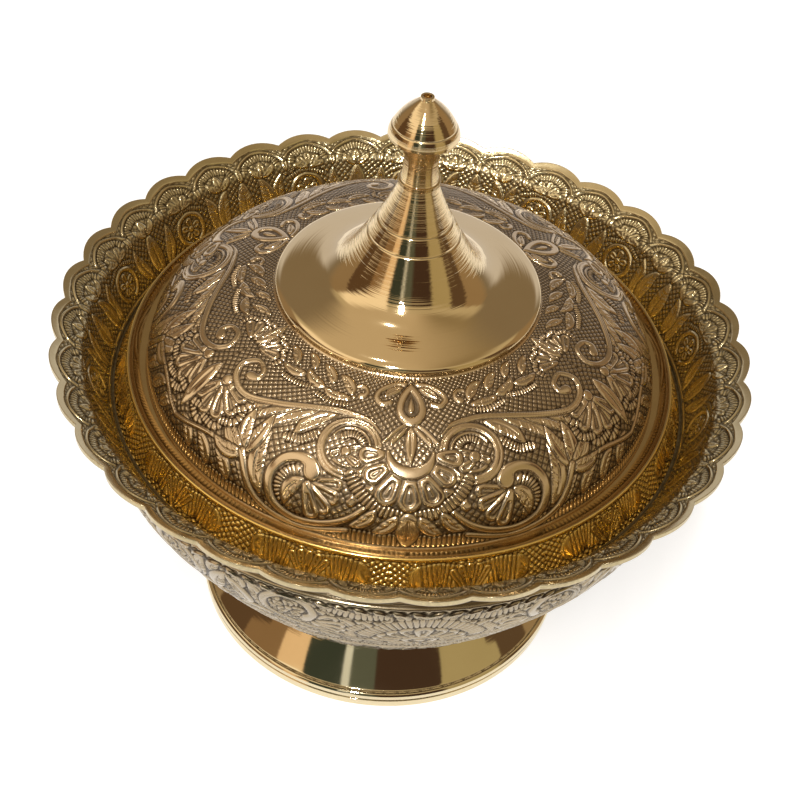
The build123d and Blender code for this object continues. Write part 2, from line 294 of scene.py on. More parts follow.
class Board:
    """Drawing board for one mirrored half of an engraved repeat.

    Lengths are mm at the repeat's own reference radius: x goes round the dish
    from the axis of the repeat, and y up the surface. The level is 0 on the
    metal's surface, minus the depth in the cut ground, and a little lower in a
    graver's line. A moat is the bare ground that is cut round a form.
    """

    moat_floor: float = 0.45
    form_wall: Pair = (-0.2, 0.14)
    sunk_wall: Pair = (-0.15, 0.2)
    rounding: float = 0.3
    rounding_reach: float = 0.4
    deepest_cut: float = 1.1
    beyond: float = 2.0
    far_off: float = 1e3

    def __init__(self, across: np.ndarray, up: np.ndarray, depth: float) -> None:
        """Starts with bare ground everywhere.

        Args:
            across: Places of the columns.
            up: Places of the rows.
            depth: Depth of the ground below the metal.
        """
        self.across, self.up, self.depth = across, up, depth
        self.moat = 0.5
        self.level = np.full((len(up), len(across)), -depth)

    def lattice(self, pitch: float, turn: float, stretch: float = 1.0, low: float = 0.0) -> None:
        """Fills the ground with small raised squares between crossed cuts.

        Args:
            pitch: Distance between neighbouring cuts.
            turn: Lean of the cuts in degrees.
            stretch: How much the squares are flattened up the surface.
            low: How far the squares stay below the metal, as a share of the depth.
        """
        x, y = self.across[None, :], self.up[:, None] * stretch
        lean = math.radians(turn)
        first = np.abs(np.sin(math.pi * (x * math.cos(lean) + y * math.sin(lean)) / pitch))
        second = np.abs(np.sin(math.pi * (y * math.cos(lean) - x * math.sin(lean)) / pitch))
        bead = smoothstep(np.minimum(first, second), 0.1, 0.75)
        self.level[:] = -self.depth + (1 - low) * self.depth * bead

    def _near(self, line: np.ndarray, widths: np.ndarray | float,
              margin: float) -> tuple[Window, np.ndarray]:
        """Finds how far the board's points near a tapered stroke are from its edge.

        Args:
            line: Middle of the stroke.
            widths: Half width at each of its points.
            margin: How far past the edge to look.

        Returns:
            The part of the board that was looked at, and the distances there.
        """
        half = np.broadcast_to(np.asarray(widths, dtype=float), (len(line),))
        pad = half.max() + margin
        low, high = line.min(axis=0) - pad, line.max(axis=0) + pad
        rows = slice(*np.searchsorted(self.up, (low[1], high[1])))
        cols = slice(*np.searchsorted(self.across, (low[0], high[0])))
        x, y = self.across[None, cols], self.up[rows, None]
        gap = np.full((y.shape[0], x.shape[1]), self.far_off)
        for start, stop, begin, finish in zip(line, line[1:], half, half[1:]):
            step = stop - start
            along = ((x - start[0]) * step[0] + (y - start[1]) * step[1]) / max(step @ step, TINY)
            along = np.clip(along, 0.0, 1.0)
            away = np.hypot(x - start[0] - along * step[0], y - start[1] - along * step[1])
            gap = np.minimum(gap, away - begin - (finish - begin) * along)
        return (rows, cols), gap

    def form(self, line: np.ndarray, widths: np.ndarray | float, top: float = 0.0,
             moat: Optional[float] = None) -> None:
        """Leaves a stroke standing out of the ground, with a clean cut round it.

        Args:
            line: Middle of the stroke.
            widths: Half width at each of its points.
            top: Level of its top.
            moat: Width of the cut round it, if it isn't the board's own.
        """
        moat = self.moat if moat is None else moat
        window, gap = self._near(line, widths, moat + 0.3)
        level = self.level[window]
        level = level + (-self.depth - level) * (1 - smoothstep(gap, moat * self.moat_floor, moat))
        body = 1 - smoothstep(gap, *self.form_wall)
        rounded = top - self.rounding * self.depth * np.exp(np.minimum(gap, 0.0) / self.rounding_reach)
        self.level[window] = level + (rounded - level) * body

    def band(self, height: float, breadth: float, moat: Optional[float] = None) -> None:
        """Leaves a plain band right across the board, by its middle and half its width."""
        past = self.across[-1] + self.beyond
        self.form(np.array([[-self.beyond, height], [past, height]]), breadth, moat=moat)

    def sink(self, line: np.ndarray, widths: np.ndarray | float, share: float = 0.7) -> None:
        """Presses a stroke into what stands there.

        Args:
            line: Middle of the stroke.
            widths: Half width at each of its points.
            share: How far down it goes, as a share of the depth.
        """
        window, gap = self._near(line, widths, 0.4)
        level = self.level[window]
        body = 1 - smoothstep(gap, *self.sunk_wall)
        self.level[window] = level + np.minimum(-share * self.depth - level, 0.0) * body

    def cut(self, line: np.ndarray, width: float = 0.24, share: float = 0.8) -> None:
        """Cuts one thin line with the graver.

        Args:
            line: Middle of the cut.
            width: How wide it is.
            share: How deep it goes, as a share of the depth.
        """
        window, gap = self._near(line, 0.0, 2.5 * width)
        groove = share * self.depth * np.exp(-(gap / width) ** 2)
        self.level[window] = np.maximum(self.level[window] - groove, -self.deepest_cut * self.depth)

    def ticks(self, path: np.ndarray, length: float, pitch: float = 0.95) -> None:
        """Cuts short lines square to a path.

        Args:
            path: Where they start.
            length: How long they are, to the path's left, or to its right where it is negative.
            pitch: Distance between them.
        """
        lengths = lengths_along(path)
        marks = np.linspace(0.0, lengths[-1], max(2, int(lengths[-1] / pitch) + 1))
        spots = places_on(path, lengths, marks)
        for spot, side in zip(spots, left_of(spots)):
            self.cut(np.array([spot, spot + side * length]), share=1.0)

    def comb(self, path: np.ndarray, length: float, pitch: float = 0.95) -> None:
        """Leaves a band beside a path and cuts it into the teeth of a comb.

        Args:
            path: Edge of the band.
            length: Its width, to the path's left, or to its right where it is negative.
            pitch: Distance between the cuts.
        """
        middle = path + left_of(path) * length / 2
        self.form(middle, abs(length) / 2, -0.1 * self.depth, 0.35)
        self.ticks(path, length, pitch)

    def hem(self, height: float, length: float, pitch: float) -> None:
        """Draws a comb right across the board, from a height by a length."""
        self.comb(np.array([[0.0, height], [self.across[-1], height]]), length, pitch)

    def leaf(self, root: Pair, tip: Pair, breadth: float, bend: float = 0.0, veins: int = 3) -> None:
        """Leaves a pointed leaf with a midrib, and side cuts on one half.

        Args:
            root: Where the leaf leaves its stem.
            tip: Its point.
            breadth: Half its greatest width.
            bend: Sideways bow of the midrib, as a share of the length.
            veins: Side cuts, which stand on the inside of the bow.
        """
        start, stop = np.array(root, dtype=float), np.array(tip, dtype=float)
        span = stop - start
        side = np.array([-span[1], span[0]])
        share = np.linspace(0.0, 1.0, 13)
        line = start + share[:, None] * span + (4 * share * (1 - share) * bend)[:, None] * side
        widths = breadth * np.sin(math.pi * np.clip(share, 0.02, 0.985) ** 0.8) ** 0.8
        self.form(line, widths)
        self.cut(line[2:10], 0.2, 0.8)
        along = span / np.linalg.norm(span)
        square = side / np.linalg.norm(side) * (-1.0 if bend > 0.0 else 1.0)
        for n in range(veins):
            place = 3 + int(round(n * 6 / max(veins, 1)))
            out = square * widths[place] * 0.85 + along * widths[place] * 0.8
            self.cut(np.array([line[place] + out * 0.3, line[place] + out]), 0.17, 0.6)

    def petal(self, root: Pair, tip: Pair, breadth: float, comb: bool = False) -> None:
        """Leaves a round-ended petal with a sunk heart.

        Args:
            root: Where the petal starts.
            tip: Its far end.
            breadth: Half its greatest width.
            comb: Whether a comb stands beyond it.
        """
        start, stop = np.array(root, dtype=float), np.array(tip, dtype=float)
        along = (stop - start) / np.linalg.norm(stop - start)
        share = np.linspace(0.0, 1.0, 6)
        line = start + share[:, None] * (stop - along * breadth - start)
        if comb:
            side = np.array([-along[1], along[0]]) * breadth * 1.5
            crown = stop - along * breadth * 0.4
            arc = flow([crown - side, crown + along * breadth * 0.9, crown + side], 6)
            self.comb(arc, -1.9)
        self.form(line, breadth * (0.45 + 0.55 * share ** 0.7))
        self.sink(line[2:], breadth * (0.1 + 0.36 * share[2:]), 0.85)
        self.form(line[3:], breadth * 0.14, -0.3 * self.depth, 0.1)

    def disc(self, middle: Pair, radius: float) -> None:
        """Leaves a round boss."""
        self.form(np.array([middle, (middle[0], middle[1] + 0.1)]), radius)

    def scroll(self, line: np.ndarray, start_width: float, end_width: float,
               bulb: float = 0.0) -> None:
        """Leaves a tapering stem, with a line along its middle where it is broad.

        Args:
            line: Middle of the stem.
            start_width: Half width at its start.
            end_width: Half width at its end.
            bulb: Half width of the bulb that it ends in, if it has one.
        """
        widths = np.linspace(start_width, end_width, len(line))
        if bulb > 0.0:
            left = np.linalg.norm(line - line[-1], axis=1)
            widths = widths + (bulb - end_width) * np.exp(-(left / (1.2 * bulb)) ** 2)
        self.form(line, widths)
        if start_width > 0.6:
            self.cut(line[:int(len(line) * 0.8)], 0.18, 0.45)

    def fan(self, centre: Pair, inner: float, outer: float, turns: Sequence[float], breadth: float,
            comb: bool = False) -> None:
        """Leaves petals that spread from a centre.

        Args:
            centre: Middle of the fan.
            inner: Distance from it to the petals' roots.
            outer: Distance from it to their tips.
            turns: Their angles in degrees.
            breadth: Half their greatest width.
            comb: Whether a comb stands beyond each.
        """
        middle = np.array(centre)
        for turn in turns:
            way = np.array([math.cos(math.radians(turn)), math.sin(math.radians(turn))])
            self.petal(tuple(middle + way * inner), tuple(middle + way * outer), breadth, comb)


@dataclass(frozen=True)
class Repeat:
    """How a drawing goes round the dish: mirrored, and a number of times."""

    times: int
    axis: float
    radius: float

    def fold(self, angles: np.ndarray) -> np.ndarray:
        """Angle of each column from the nearest axis of the repeat, in degrees."""
        half = 180.0 / self.times
        return np.abs((angles - self.axis + half) % (2 * half) - half)

    def engrave(self, outline: np.ndarray, angles: np.ndarray, depth: float,
                draw: Callable[[Board], None]) -> np.ndarray:
        """Draws one half repeat and lays it round the dish.

        Args:
            outline: Rows of the engraved surface as (radius, height), upward.
            angles: Angles of the mesh's columns in degrees.
            depth: Depth of the ground below the metal.
            draw: The drawing.

        Returns:
            Level of each vertex, rows by columns, 0 or less.
        """
        lengths = np.linalg.norm(np.diff(outline, axis=0), axis=1)
        middles = (outline[1:, 0] + outline[:-1, 0]) / 2
        up = np.concatenate([[0.0], np.cumsum(lengths * self.radius / middles)])
        folded, places = np.unique(np.round(self.fold(angles), 5), return_inverse=True)
        board = Board(np.radians(folded) * self.radius, up, depth)
        draw(board)
        return np.minimum(board.level, 0.0)[:, places]


@dataclass
class TurnedPiece:
    """Mesh turned from an outline, with rows along it and columns round the axis.

    The rows that `second` marks take the piece's second material, and the given darkening says how dark each
    row is made, from 0 to 1, besides its engraved depth: painted shade on the bowl's ledge under the lid, and
    a darker lip on the rim.
    """

    name: str
    outline: np.ndarray
    columns: int
    turn: float = 0.0
    levels: dict[int, np.ndarray] = field(default_factory=dict)
    second: Optional[np.ndarray] = None
    darkening: Optional[np.ndarray] = None
    edge: Optional[Edge] = None

    @property
    def angles(self) -> np.ndarray:
        """Angles of the columns in degrees."""
        return self.turn + np.arange(self.columns) * 360.0 / self.columns

    def engrave(self, face: np.ndarray, repeat: Repeat, depth: float, draw: Callable[[Board], None],
                downward: bool = False) -> None:
        """Sinks an ornament into rows that follow each other.

        Args:
            face: Numbers of the rows.
            repeat: How the drawing goes round.
            depth: Depth of its ground below the metal.
            draw: The drawing.
            downward: Whether the rows run from its top to its foot.
        """
        order = -1 if downward else 1
        level = repeat.engrave(self.outline[face][::order], self.angles, depth, draw)
        self.levels[int(face[0])] = level[::order]

    def _surface(self) -> tuple[np.ndarray, np.ndarray]:
        """Lays the rows round the axis and sinks them by their engraving.

        Returns:
            The points in metres, and the level of each in mm, rows by columns.
        """
        outline = self.outline
        ways = np.roll(outline, -1, axis=0) - np.roll(outline, 1, axis=0)
        ways /= np.maximum(np.linalg.norm(ways, axis=1), TINY)[:, None]
        level = np.zeros((len(outline), self.columns))
        for start, sunk in self.levels.items():
            level[start:start + len(sunk)] = sunk
        radii = outline[:, :1] + ways[:, 1:] * level
        heights = outline[:, 1:] - ways[:, :1] * level
        if self.edge is not None:
            radii, heights = self.edge(radii, heights, self.angles)
        angles = np.radians(self.angles)
        points = np.stack([radii * np.cos(angles), radii * np.sin(angles), heights], axis=-1)
        return points.reshape(-1, 3) * MM, level

    def _faces(self) -> tuple[np.ndarray, np.ndarray]:
        """Joins the rows by four-sided faces.

        Returns:
            The numbers of each face's points, and where its corners lie on the bake's chart.
        """
        count = len(self.outline)
        rows, cols = np.arange(count)[:, None], np.arange(self.columns)[None, :]
        after, above = (cols + 1) % self.columns, (rows + 1) % count
        quads = np.stack([rows * self.columns + cols, rows * self.columns + after,
                          above * self.columns + after, above * self.columns + cols], axis=-1)
        low_u, high_u = cols / self.columns + 0 * rows, (cols + 1) / self.columns + 0 * rows
        low_v, high_v = rows / count + 0 * cols, (rows + 1) / count + 0 * cols
        chart = np.stack([low_u, low_v, high_u, low_v, high_u, high_v, low_u, high_v], axis=-1)
        return quads.reshape(-1, 4), chart

    def build(self) -> bpy.types.Object:
        """Makes the mesh object.

        Returns:
            The object, linked to the scene. Its point attribute for the material says, from 0 to 1, how deep
            each point
            is cut or how far it is darkened: painted shade on the bowl's ledge, a darker lip on the rim.
        """
        points, level = self._surface()
        faces, chart = self._faces()
        mesh = bpy.data.meshes.new(self.name)
        mesh.vertices.add(len(points))
        mesh.vertices.foreach_set("co", points.ravel())
        mesh.loops.add(faces.size)
        mesh.loops.foreach_set("vertex_index", faces.ravel().astype(np.int32))
        mesh.polygons.add(len(faces))
        mesh.polygons.foreach_set("loop_start", np.arange(0, faces.size, 4, dtype=np.int32))
        mesh.update(calc_edges=True)
        mesh.polygons.foreach_set("use_smooth", np.ones(len(faces), dtype=bool))
        if self.second is not None:
            zone = np.repeat(self.second.astype(np.int32), self.columns)
            mesh.polygons.foreach_set("material_index", zone)
        mesh.uv_layers.new(name="OFBake").data.foreach_set("uv", chart.ravel().astype(np.float32))
        # Darkness of each point: its cut depth, raised where rows are darkened (painted shade on the bowl's
        # ledge, a darker rim lip).
        dark = -level / max(TINY, float(-level.min()))
        if self.darkening is not None:
            dark = np.maximum(dark, self.darkening[:, None])
        depth = mesh.attributes.new("depth_and_darkening", "FLOAT", "POINT")
        depth.data.foreach_set("value", dark.ravel().astype(np.float32))
        mesh.validate()
        LOG.info("%s: %d faces", self.name, len(faces))
        return show(self.name, mesh)


class Slot(Enum):
    """Names of material slots, which each finish carries."""

    ENGRAVED = "engraved_brass"
    POLISHED = "polished_brass"
    SCREW = "screw_brass"


class NodeBench:
    """Short way to lay and join shader nodes."""

    def __init__(self, owner: bpy.types.Material | bpy.types.World) -> None:
        """Clears the node tree.

        Args:
            owner: The material or the world that it belongs to.
        """
        owner.use_nodes = True
        self.tree = owner.node_tree
        self.tree.nodes.clear()

    def node(self, kind: str, inputs: Optional[dict] = None, **settings: object) -> bpy.types.Node:
        """Adds a node.

        Args:
            kind: Blender's name of the node without its ShaderNode prefix.
            inputs: Values or sockets by input name or number.
            settings: The node's own properties.

        Returns:
            The node.
        """
        made = self.tree.nodes.new("ShaderNode" + kind)
        for key, value in settings.items():
            setattr(made, key, value)
        for key, value in (inputs or {}).items():
            if isinstance(value, bpy.types.NodeSocket):
                self.tree.links.new(value, made.inputs[key])
            else:
                made.inputs[key].default_value = value
        return made

    def blend(self, share: object, first: object, second: object) -> bpy.types.NodeSocket:
        """Mixes two colours by a share."""
        return self.node("Mix", {0: share, 6: first, 7: second}, data_type="RGBA").outputs[2]

    def math(self, kind: str, first: object, second: object = 0.0) -> bpy.types.NodeSocket:
        """Works out one sum."""
        return self.node("Math", {0: first, 1: second}, operation=kind).outputs[0]

    def seen(self) -> bpy.types.NodeSocket:
        """Tells what is looked at from what only gives light.

        Returns:
            1 where the camera looks, straight or by way of metal or glass, and else 0.
        """
        path = self.node("LightPath").outputs
        mirrored = self.math("MAXIMUM", path["Is Glossy Ray"], path["Is Transmission Ray"])
        return self.math("MAXIMUM", path["Is Camera Ray"], mirrored)

    def span(self, value: object, low: float, high: float, start: float,
             stop: float) -> bpy.types.NodeSocket:
        """Maps a value from one range to another and holds it there."""
        made = self.node("MapRange", {0: value, 1: low, 2: high, 3: start, 4: stop})
        return made.outputs[0]

    def noise(self, where: object, scale: float, detail: float,
              rough: float) -> bpy.types.NodeSocket:
        """Cloudy pattern, finer for a larger scale."""
        made = self.node("TexNoise", {"Vector": where, "Scale": scale, "Detail": detail, "Roughness": rough})
        return made.outputs[0]


def rgba(colour: Colour) -> tuple[float, float, float, float]:
    """Colour with full opacity."""
    return (*colour, 1.0)


@dataclass(frozen=True)
class BrassFinish:
    """Finish of brass: its metal, its tarnish and the marks of the work.

    Scales count the patterns' cells to a metre, and the bump's depth is in metres.
    """

    name: str
    slot: Slot
    metal: Colour
    tarnish: Colour
    # Patina in the cuts; the same colour paints the shade on the bowl's ledge and darkens the rim's lip.
    groove: Colour = (0.05, 0.028, 0.012)
    shine: float = 0.14
    dull: float = 0.42
    patches: float = 0.5
    grain: float = 0.25
    rings: float = 0.0
    cloud_scale: float = 38.0
    smear_scale: float = 160.0
    speck_scale: float = 900.0
    ring_scale: float = 1500.0
    ring_lean: float = 0.37
    bump_strength: float = 0.35
    bump_depth: float = 0.00012

    def material(self) -> bpy.types.Material:
        """Makes the node material of this finish.

        Returns:
            The material.
        """
        made = bpy.data.materials.new(self.name)
        bench = NodeBench(made)
        where = bench.node("TexCoord").outputs["Object"]
        cloud = bench.noise(where, self.cloud_scale, 5.0, 0.6)
        speck = bench.noise(where, self.speck_scale, 3.0, 0.6)
        smear = bench.noise(where, self.smear_scale, 4.0, 0.65)
        stain = bench.span(cloud, 0.42, 0.72, 0.0, self.patches)
        colour = bench.blend(stain, rgba(self.metal), rgba(self.tarnish))
        # Dark patina settles in the cuts; the same mix paints shade on the bowl's ledge under the lid and
        # darkens the rim's lip.
        depth = bench.node("Attribute", attribute_name="depth_and_darkening").outputs["Fac"]
        uneven = bench.math("ADD", depth, bench.math("MULTIPLY", speck, 0.25))
        patina_and_darkening = bench.span(uneven, 0.52, 1.08, 0.0, 1.0)
        colour = bench.blend(patina_and_darkening, colour, rgba(self.groove))
        rough = bench.span(smear, 0.3, 0.75, self.shine * 0.75, self.shine * 1.35)
        rough = bench.math("ADD", rough, bench.math("MULTIPLY", patina_and_darkening, self.dull - self.shine))
        height = bench.math("ADD", bench.math("MULTIPLY", speck, self.grain),
                            bench.math("MULTIPLY", self._turned(bench, where), self.rings))
        bump = bench.node("Bump", {"Strength": self.bump_strength, "Distance": self.bump_depth,
                                   "Height": height})
        shader = bench.node("BsdfPrincipled", {"Base Color": colour, "Metallic": 1.0, "Roughness": rough,
                                               "Normal": bump.outputs[0]})
        bench.node("OutputMaterial", {0: shader.outputs[0]})
        return made

    def _turned(self, bench: NodeBench, where: bpy.types.NodeSocket) -> bpy.types.NodeSocket:
        """Draws the fine rings that a lathe leaves round the axis.

        Args:
            bench: Where the nodes are laid.
            where: Place on the piece.

        Returns:
            Height of the rings, from 0 to 1.
        """
        parts = bench.node("SeparateXYZ", {0: where})
        flat = bench.node("CombineXYZ", {0: parts.outputs[0], 1: parts.outputs[1]})
        radius = bench.node("VectorMath", {0: flat.outputs[0]}, operation="LENGTH").outputs["Value"]
        run = bench.math("ADD", parts.outputs[2], bench.math("MULTIPLY", radius, self.ring_lean))
        settings = {"W": run, "Scale": self.ring_scale, "Detail": 3.0, "Roughness": 0.7}
        return bench.node("TexNoise", settings, noise_dimensions="1D").outputs[0]


class Finishes:
    """All the finishes of the dish, each made once."""

    DOME = BrassFinish("dome_brass", Slot.ENGRAVED, (0.67, 0.52, 0.34), (0.46, 0.34, 0.21),
                       groove=(0.04, 0.023, 0.01), shine=0.16)
    RING = BrassFinish("ring_brass", Slot.ENGRAVED, (0.60, 0.44, 0.21), (0.44, 0.30, 0.13), shine=0.14)
    # Brighter, more orange copy of the lid's brass: painted light for the warm highlights that the bowl
    # reflects onto the skirt.
    SKIRT_PAINTED_LIGHT = BrassFinish("skirt_brass_painted_light", Slot.ENGRAVED, (0.98, 0.71, 0.24), (0.80, 0.52, 0.14),
                        groove=(0.10, 0.045, 0.012), shine=0.15)
    RIM = BrassFinish("rim_brass", Slot.ENGRAVED, (0.66, 0.555, 0.335), (0.47, 0.375, 0.20),
                      groove=(0.07, 0.048, 0.02), shine=0.18)
    # Darker copy of the bowl's brass: painted shade that dims the bright floor mirrored by the belly and the
    # flare's underside.
    BELLY_PAINTED_SHADE = BrassFinish("belly_brass_painted_shade", Slot.ENGRAVED, (0.42, 0.345, 0.235), (0.33, 0.265, 0.17), shine=0.2,
                        groove=(0.03, 0.018, 0.008))
    FINIAL = BrassFinish("finial_brass", Slot.POLISHED, (0.76, 0.60, 0.36), (0.64, 0.48, 0.26), shine=0.07,
                         groove=(0.42, 0.31, 0.16), patches=0.3, grain=0.03, rings=2.0)
    FOOT = BrassFinish("foot_brass", Slot.POLISHED, (0.76, 0.65, 0.43), (0.62, 0.51, 0.31), shine=0.06,
                       patches=0.3, grain=0.03, rings=0.3)
    SCREW = BrassFinish("screw_brass_satin", Slot.SCREW, (0.76, 0.60, 0.34), (0.52, 0.38, 0.2), shine=0.3,
                        grain=0.5, rings=0.3)

    def __init__(self) -> None:
        """Starts with no material made."""
        self._made: dict[str, bpy.types.Material] = {}

    def _made_once(self, finish: BrassFinish) -> bpy.types.Material:
        """Finds the material of a finish, and makes it the first time.

        Args:
            finish: The finish.

        Returns:
            Its material.
        """
        if finish.name not in self._made:
            self._made[finish.name] = finish.material()
        return self._made[finish.name]

    def dress(self, piece: bpy.types.Object, finish: BrassFinish,
              second: Optional[BrassFinish] = None) -> None:
        """Gives a piece its finish in every slot.

        Args:
            piece: The piece.
            finish: Its finish.
            second: Finish of its second zone, if it has one.
        """
        material = self._made_once(finish)
        if piece.data.materials:
            for n in range(len(piece.data.materials)):
                piece.data.materials[n] = material
        else:
            piece.data.materials.append(material)
        if second is not None:
            piece.data.materials.append(self._made_once(second))

    def finish_piece(self, piece: bpy.types.Object, finish: BrassFinish, body: str, node: str,
                     second: Optional[BrassFinish] = None) -> None:
        """Dresses a piece, sets it on its body and lets it stand for a CAD node.

        Args:
            piece: The piece.
            finish: Its finish.
            body: The body that it rides on.
            node: The CAD node that it replaces.
            second: Finish of its second zone, if it has one.
        """
        self.dress(piece, finish, second)
        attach(piece, body)
        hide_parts(node)


@dataclass
class Bowl:
    """Bowl with its engraved belly, funnel and scalloped rim."""

    rim_radius: float = 100.0
    rim_height: float = 104.4
    scallops: int = 35
    scallop_depth: float = 2.2
    scallop_turn: float = 0.9
    ledge_height: float = 84.9
    ledge_radii: Pair = (81.5, 84.0)
    ledge_thickness: float = 2.5
    wall: float = 1.6
    hole_radius: float = 1.9
    floor_height: float = 17.0
    floor_radius: float = 47.0
    collar: Pair = (87.89, 88.1)
    pattern_top: float = 85.6
    relief: float = 0.42
    belly_relief: float = 0.55
    # Darkening of the rim's lip, and painted shade on the ledge under the lid, both from 0 to 1.
    lip_darkening: float = 0.5
    ledge_painted_shade: float = 0.9
    flare_start: float = 91.5
    flare_slope: float = 5.0 / 8.8
    rim_columns: int = 1680
    rim_repeats: int = 7
    rim_reference: float = 95.0
    belly_columns: int = 1440
    belly_repeat: Repeat = Repeat(5, 279.0, 80.0)

    def edge_radius(self, angles: np.ndarray) -> np.ndarray:
        """Works out the scalloped edge, an arc for each scallop.

        Args:
            angles: Directions in degrees.

        Returns:
            Radius of the edge in each direction.
        """
        half = math.pi / self.scallops
        valley = self.rim_radius - self.scallop_depth
        centre = ((self.rim_radius ** 2 - valley ** 2)
                  / (2 * self.rim_radius - 2 * valley * math.cos(half)))
        lobe = self.rim_radius - centre
        turn = (np.radians(angles - self.scallop_turn) + half) % (2 * half) - half
        return centre * np.cos(turn) + np.sqrt(lobe ** 2 - (centre * np.sin(turn)) ** 2)

    def _scallop(self, radii: np.ndarray, heights: np.ndarray,
                 angles: np.ndarray) -> tuple[np.ndarray, np.ndarray]:
        """Draws the flare in to the scalloped edge.

        Args:
            radii: Radius of each point, rows by columns.
            heights: Height of each point.
            angles: Angles of the columns in degrees.

        Returns:
            The new radii and heights.
        """
        weight = smoothstep(radii, self.flare_start, self.rim_radius)
        shift = (self.edge_radius(angles)[None, :] - self.rim_radius) * weight
        return radii + shift, heights + shift * self.flare_slope

    def build_rim(self) -> bpy.types.Object:
        """Makes funnel and flared rim, with the plain outside as second zone.

        Returns:
            The rim piece.
        """
        pencil = Outline(self.collar)
        pencil.line((92.9, 97.2), 1.2, 2.2)
        pencil.line((self.rim_radius, 102.56), 0.8, 0.25)
        pencil.line((self.rim_radius, self.rim_height), 0.5, 0.2)
        pencil.line((91.2, 99.4), 0.26, 1.2)
        pencil.line((self.ledge_radii[1], self.ledge_height), 0.26, 0.0)
        pencil.line(self.collar, 2.0, 0.0)
        rows, owners = pencil.rows()
        outside, lip, inside = owners < 2, owners == 2, (owners == 3) | (owners == 4)
        # The lip is darkened by half, so that the rolled edge reads less bright.
        piece = TurnedPiece("bowl_rim", rows, self.rim_columns, self.scallop_turn, edge=self._scallop,
                            second=outside, darkening=np.where(lip, self.lip_darkening, 0.0))
        repeat = Repeat(self.rim_repeats, self.scallop_turn, self.rim_reference)
        piece.engrave(np.flatnonzero(inside), repeat, self.relief, RimDrawing().draw, downward=True)
        return piece.build()

    def build_belly(self) -> bpy.types.Object:
        """Makes the belly, engraved up to just under the flare, with ledge and inside as second zone.

        Returns:
            The belly piece.
        """
        low, ledge_foot = self.floor_height, self.ledge_height - self.ledge_thickness
        ledge_inside, ledge_outside = self.ledge_radii
        pencil = Outline((self.floor_radius, low))
        pencil.curve([(62.6, 34.4), (75.9, 54.4), (88.3, 82.4)], (1, 1), (0.15, 1), 0.34, 0.0)
        pencil.arc((88.95, 83.75), (87.06, 86.6), 0.34, 0.3)
        pencil.line(self.collar, 0.34, 0.0)
        pencil.line((ledge_outside, self.ledge_height), 1.5, 0.0)
        pencil.line((ledge_inside, self.ledge_height), 0.8, 0.2)
        pencil.line((ledge_inside, ledge_foot), 0.8, 0.2)
        pencil.beside(0, self.wall, 2.5, 0.3)
        pencil.line((self.floor_radius - 2 * self.wall, low + self.wall), 1.0, 0.3)
        pencil.line((self.hole_radius, low + self.wall), 4.0, 0.2)
        pencil.line((self.hole_radius, low), 1.0, 0.2)
        pencil.line((self.floor_radius, low), 4.0, 0.1)
        rows, owners = pencil.rows()
        outside, ledge = owners < 2, (owners == 3) | (owners == 4)
        # The ledge under the lid is painted nearly as dark as the cut ground: painted shade for the gap
        # between lid and bowl.
        piece = TurnedPiece("bowl_belly", rows, self.belly_columns, second=owners > 2,
                            darkening=np.where(ledge, self.ledge_painted_shade, 0.0))
        engraved = outside & (rows[:, 1] > low + 1.0) & (rows[:, 1] < self.pattern_top)
        piece.engrave(np.flatnonzero(engraved), self.belly_repeat, self.belly_relief, BellyDrawing().draw)
        return piece.build()


class RimDrawing:
    """Ornament of the funnel and the flare, five scallops to a repeat."""

    lobe: float = 17.05

    def draw(self, board: Board) -> None:
        """Draws leaves up the funnel and a combed arch under each scallop.

        Args:
            board: Where it is drawn.
        """
        edge = float(board.up[-1])
        board.lattice(1.5, 40.0, low=0.5)
        board.band(0.6, 0.5)
        self._funnel(board)
        board.band(edge + 0.2, 2.6, 0.3)
        for n in range(3):
            self._arch(board, n * self.lobe, edge, n)

    def _arch(self, board: Board, middle: float, edge: float, number: int) -> None:
        """Draws the arch, its comb and the sprig under one scallop.

        Args:
            board: Where it is drawn.
            middle: Place of the scallop's middle.
            edge: Height of the rim's edge.
            number: Which scallop, from the axis of the repeat.
        """
        low = edge - 7.2
        line = flow([(middle - 8.5, low), (middle - 6.2, edge - 4.4), (middle, edge - 2.9),
                     (middle + 6.2, edge - 4.4), (middle + 8.5, low)], 8)
        board.form(line, 0.42, moat=0.6)
        inner = flow([(middle - 6.9, low - 0.2), (middle - 5.2, edge - 5.1), (middle, edge - 3.7),
                      (middle + 5.2, edge - 5.1), (middle + 6.9, low - 0.2)], 8)
        board.comb(inner, -2.3, 1.0)
        root = (middle, edge - 11.8)
        if number % 2:
            board.fan(root, 0.8, 5.6, (90, 52, 128, 18, 162), 1.05)
        else:
            board.leaf(root, (middle, edge - 6.3), 1.5, veins=3)
            board.leaf(root, (middle + 4.4, edge - 7.6), 1.2, -0.12, 3)
            board.leaf(root, (middle - 4.4, edge - 7.6), 1.2, 0.12, 3)
        board.leaf((middle + 8.5, edge - 11.5), (middle + 8.5, edge - 5.6), 1.0, veins=2)

    def _funnel(self, board: Board) -> None:
        """Draws the large leaves and ringed flowers of the funnel.

        Args:
            board: Where it is drawn.
        """
        for root, tip, breadth, bend in (
                ((0.0, 1.2), (0.0, 15.6), 3.1, 0.0), ((4.6, 1.6), (8.6, 14.6), 2.3, -0.1),
                ((29.0, 1.6), (27.6, 15.2), 2.4, -0.1), ((33.6, 1.4), (36.2, 15.4), 2.5, 0.1),
                ((42.6, 1.2), (42.6, 15.6), 3.0, 0.0)):
            board.leaf(root, tip, breadth, bend, 5)
        centre = (18.4, 8.0)
        board.form(around(centre, 5.4, -60, 250), 0.75)
        board.fan(centre, 0.8, 4.0, (18, 90, 162, 234, 306), 1.15)
        board.disc(centre, 1.0)
        board.comb(flow([(11.6, 13.6), (18.4, 15.8), (25.0, 13.8)]), -1.6, 1.0)


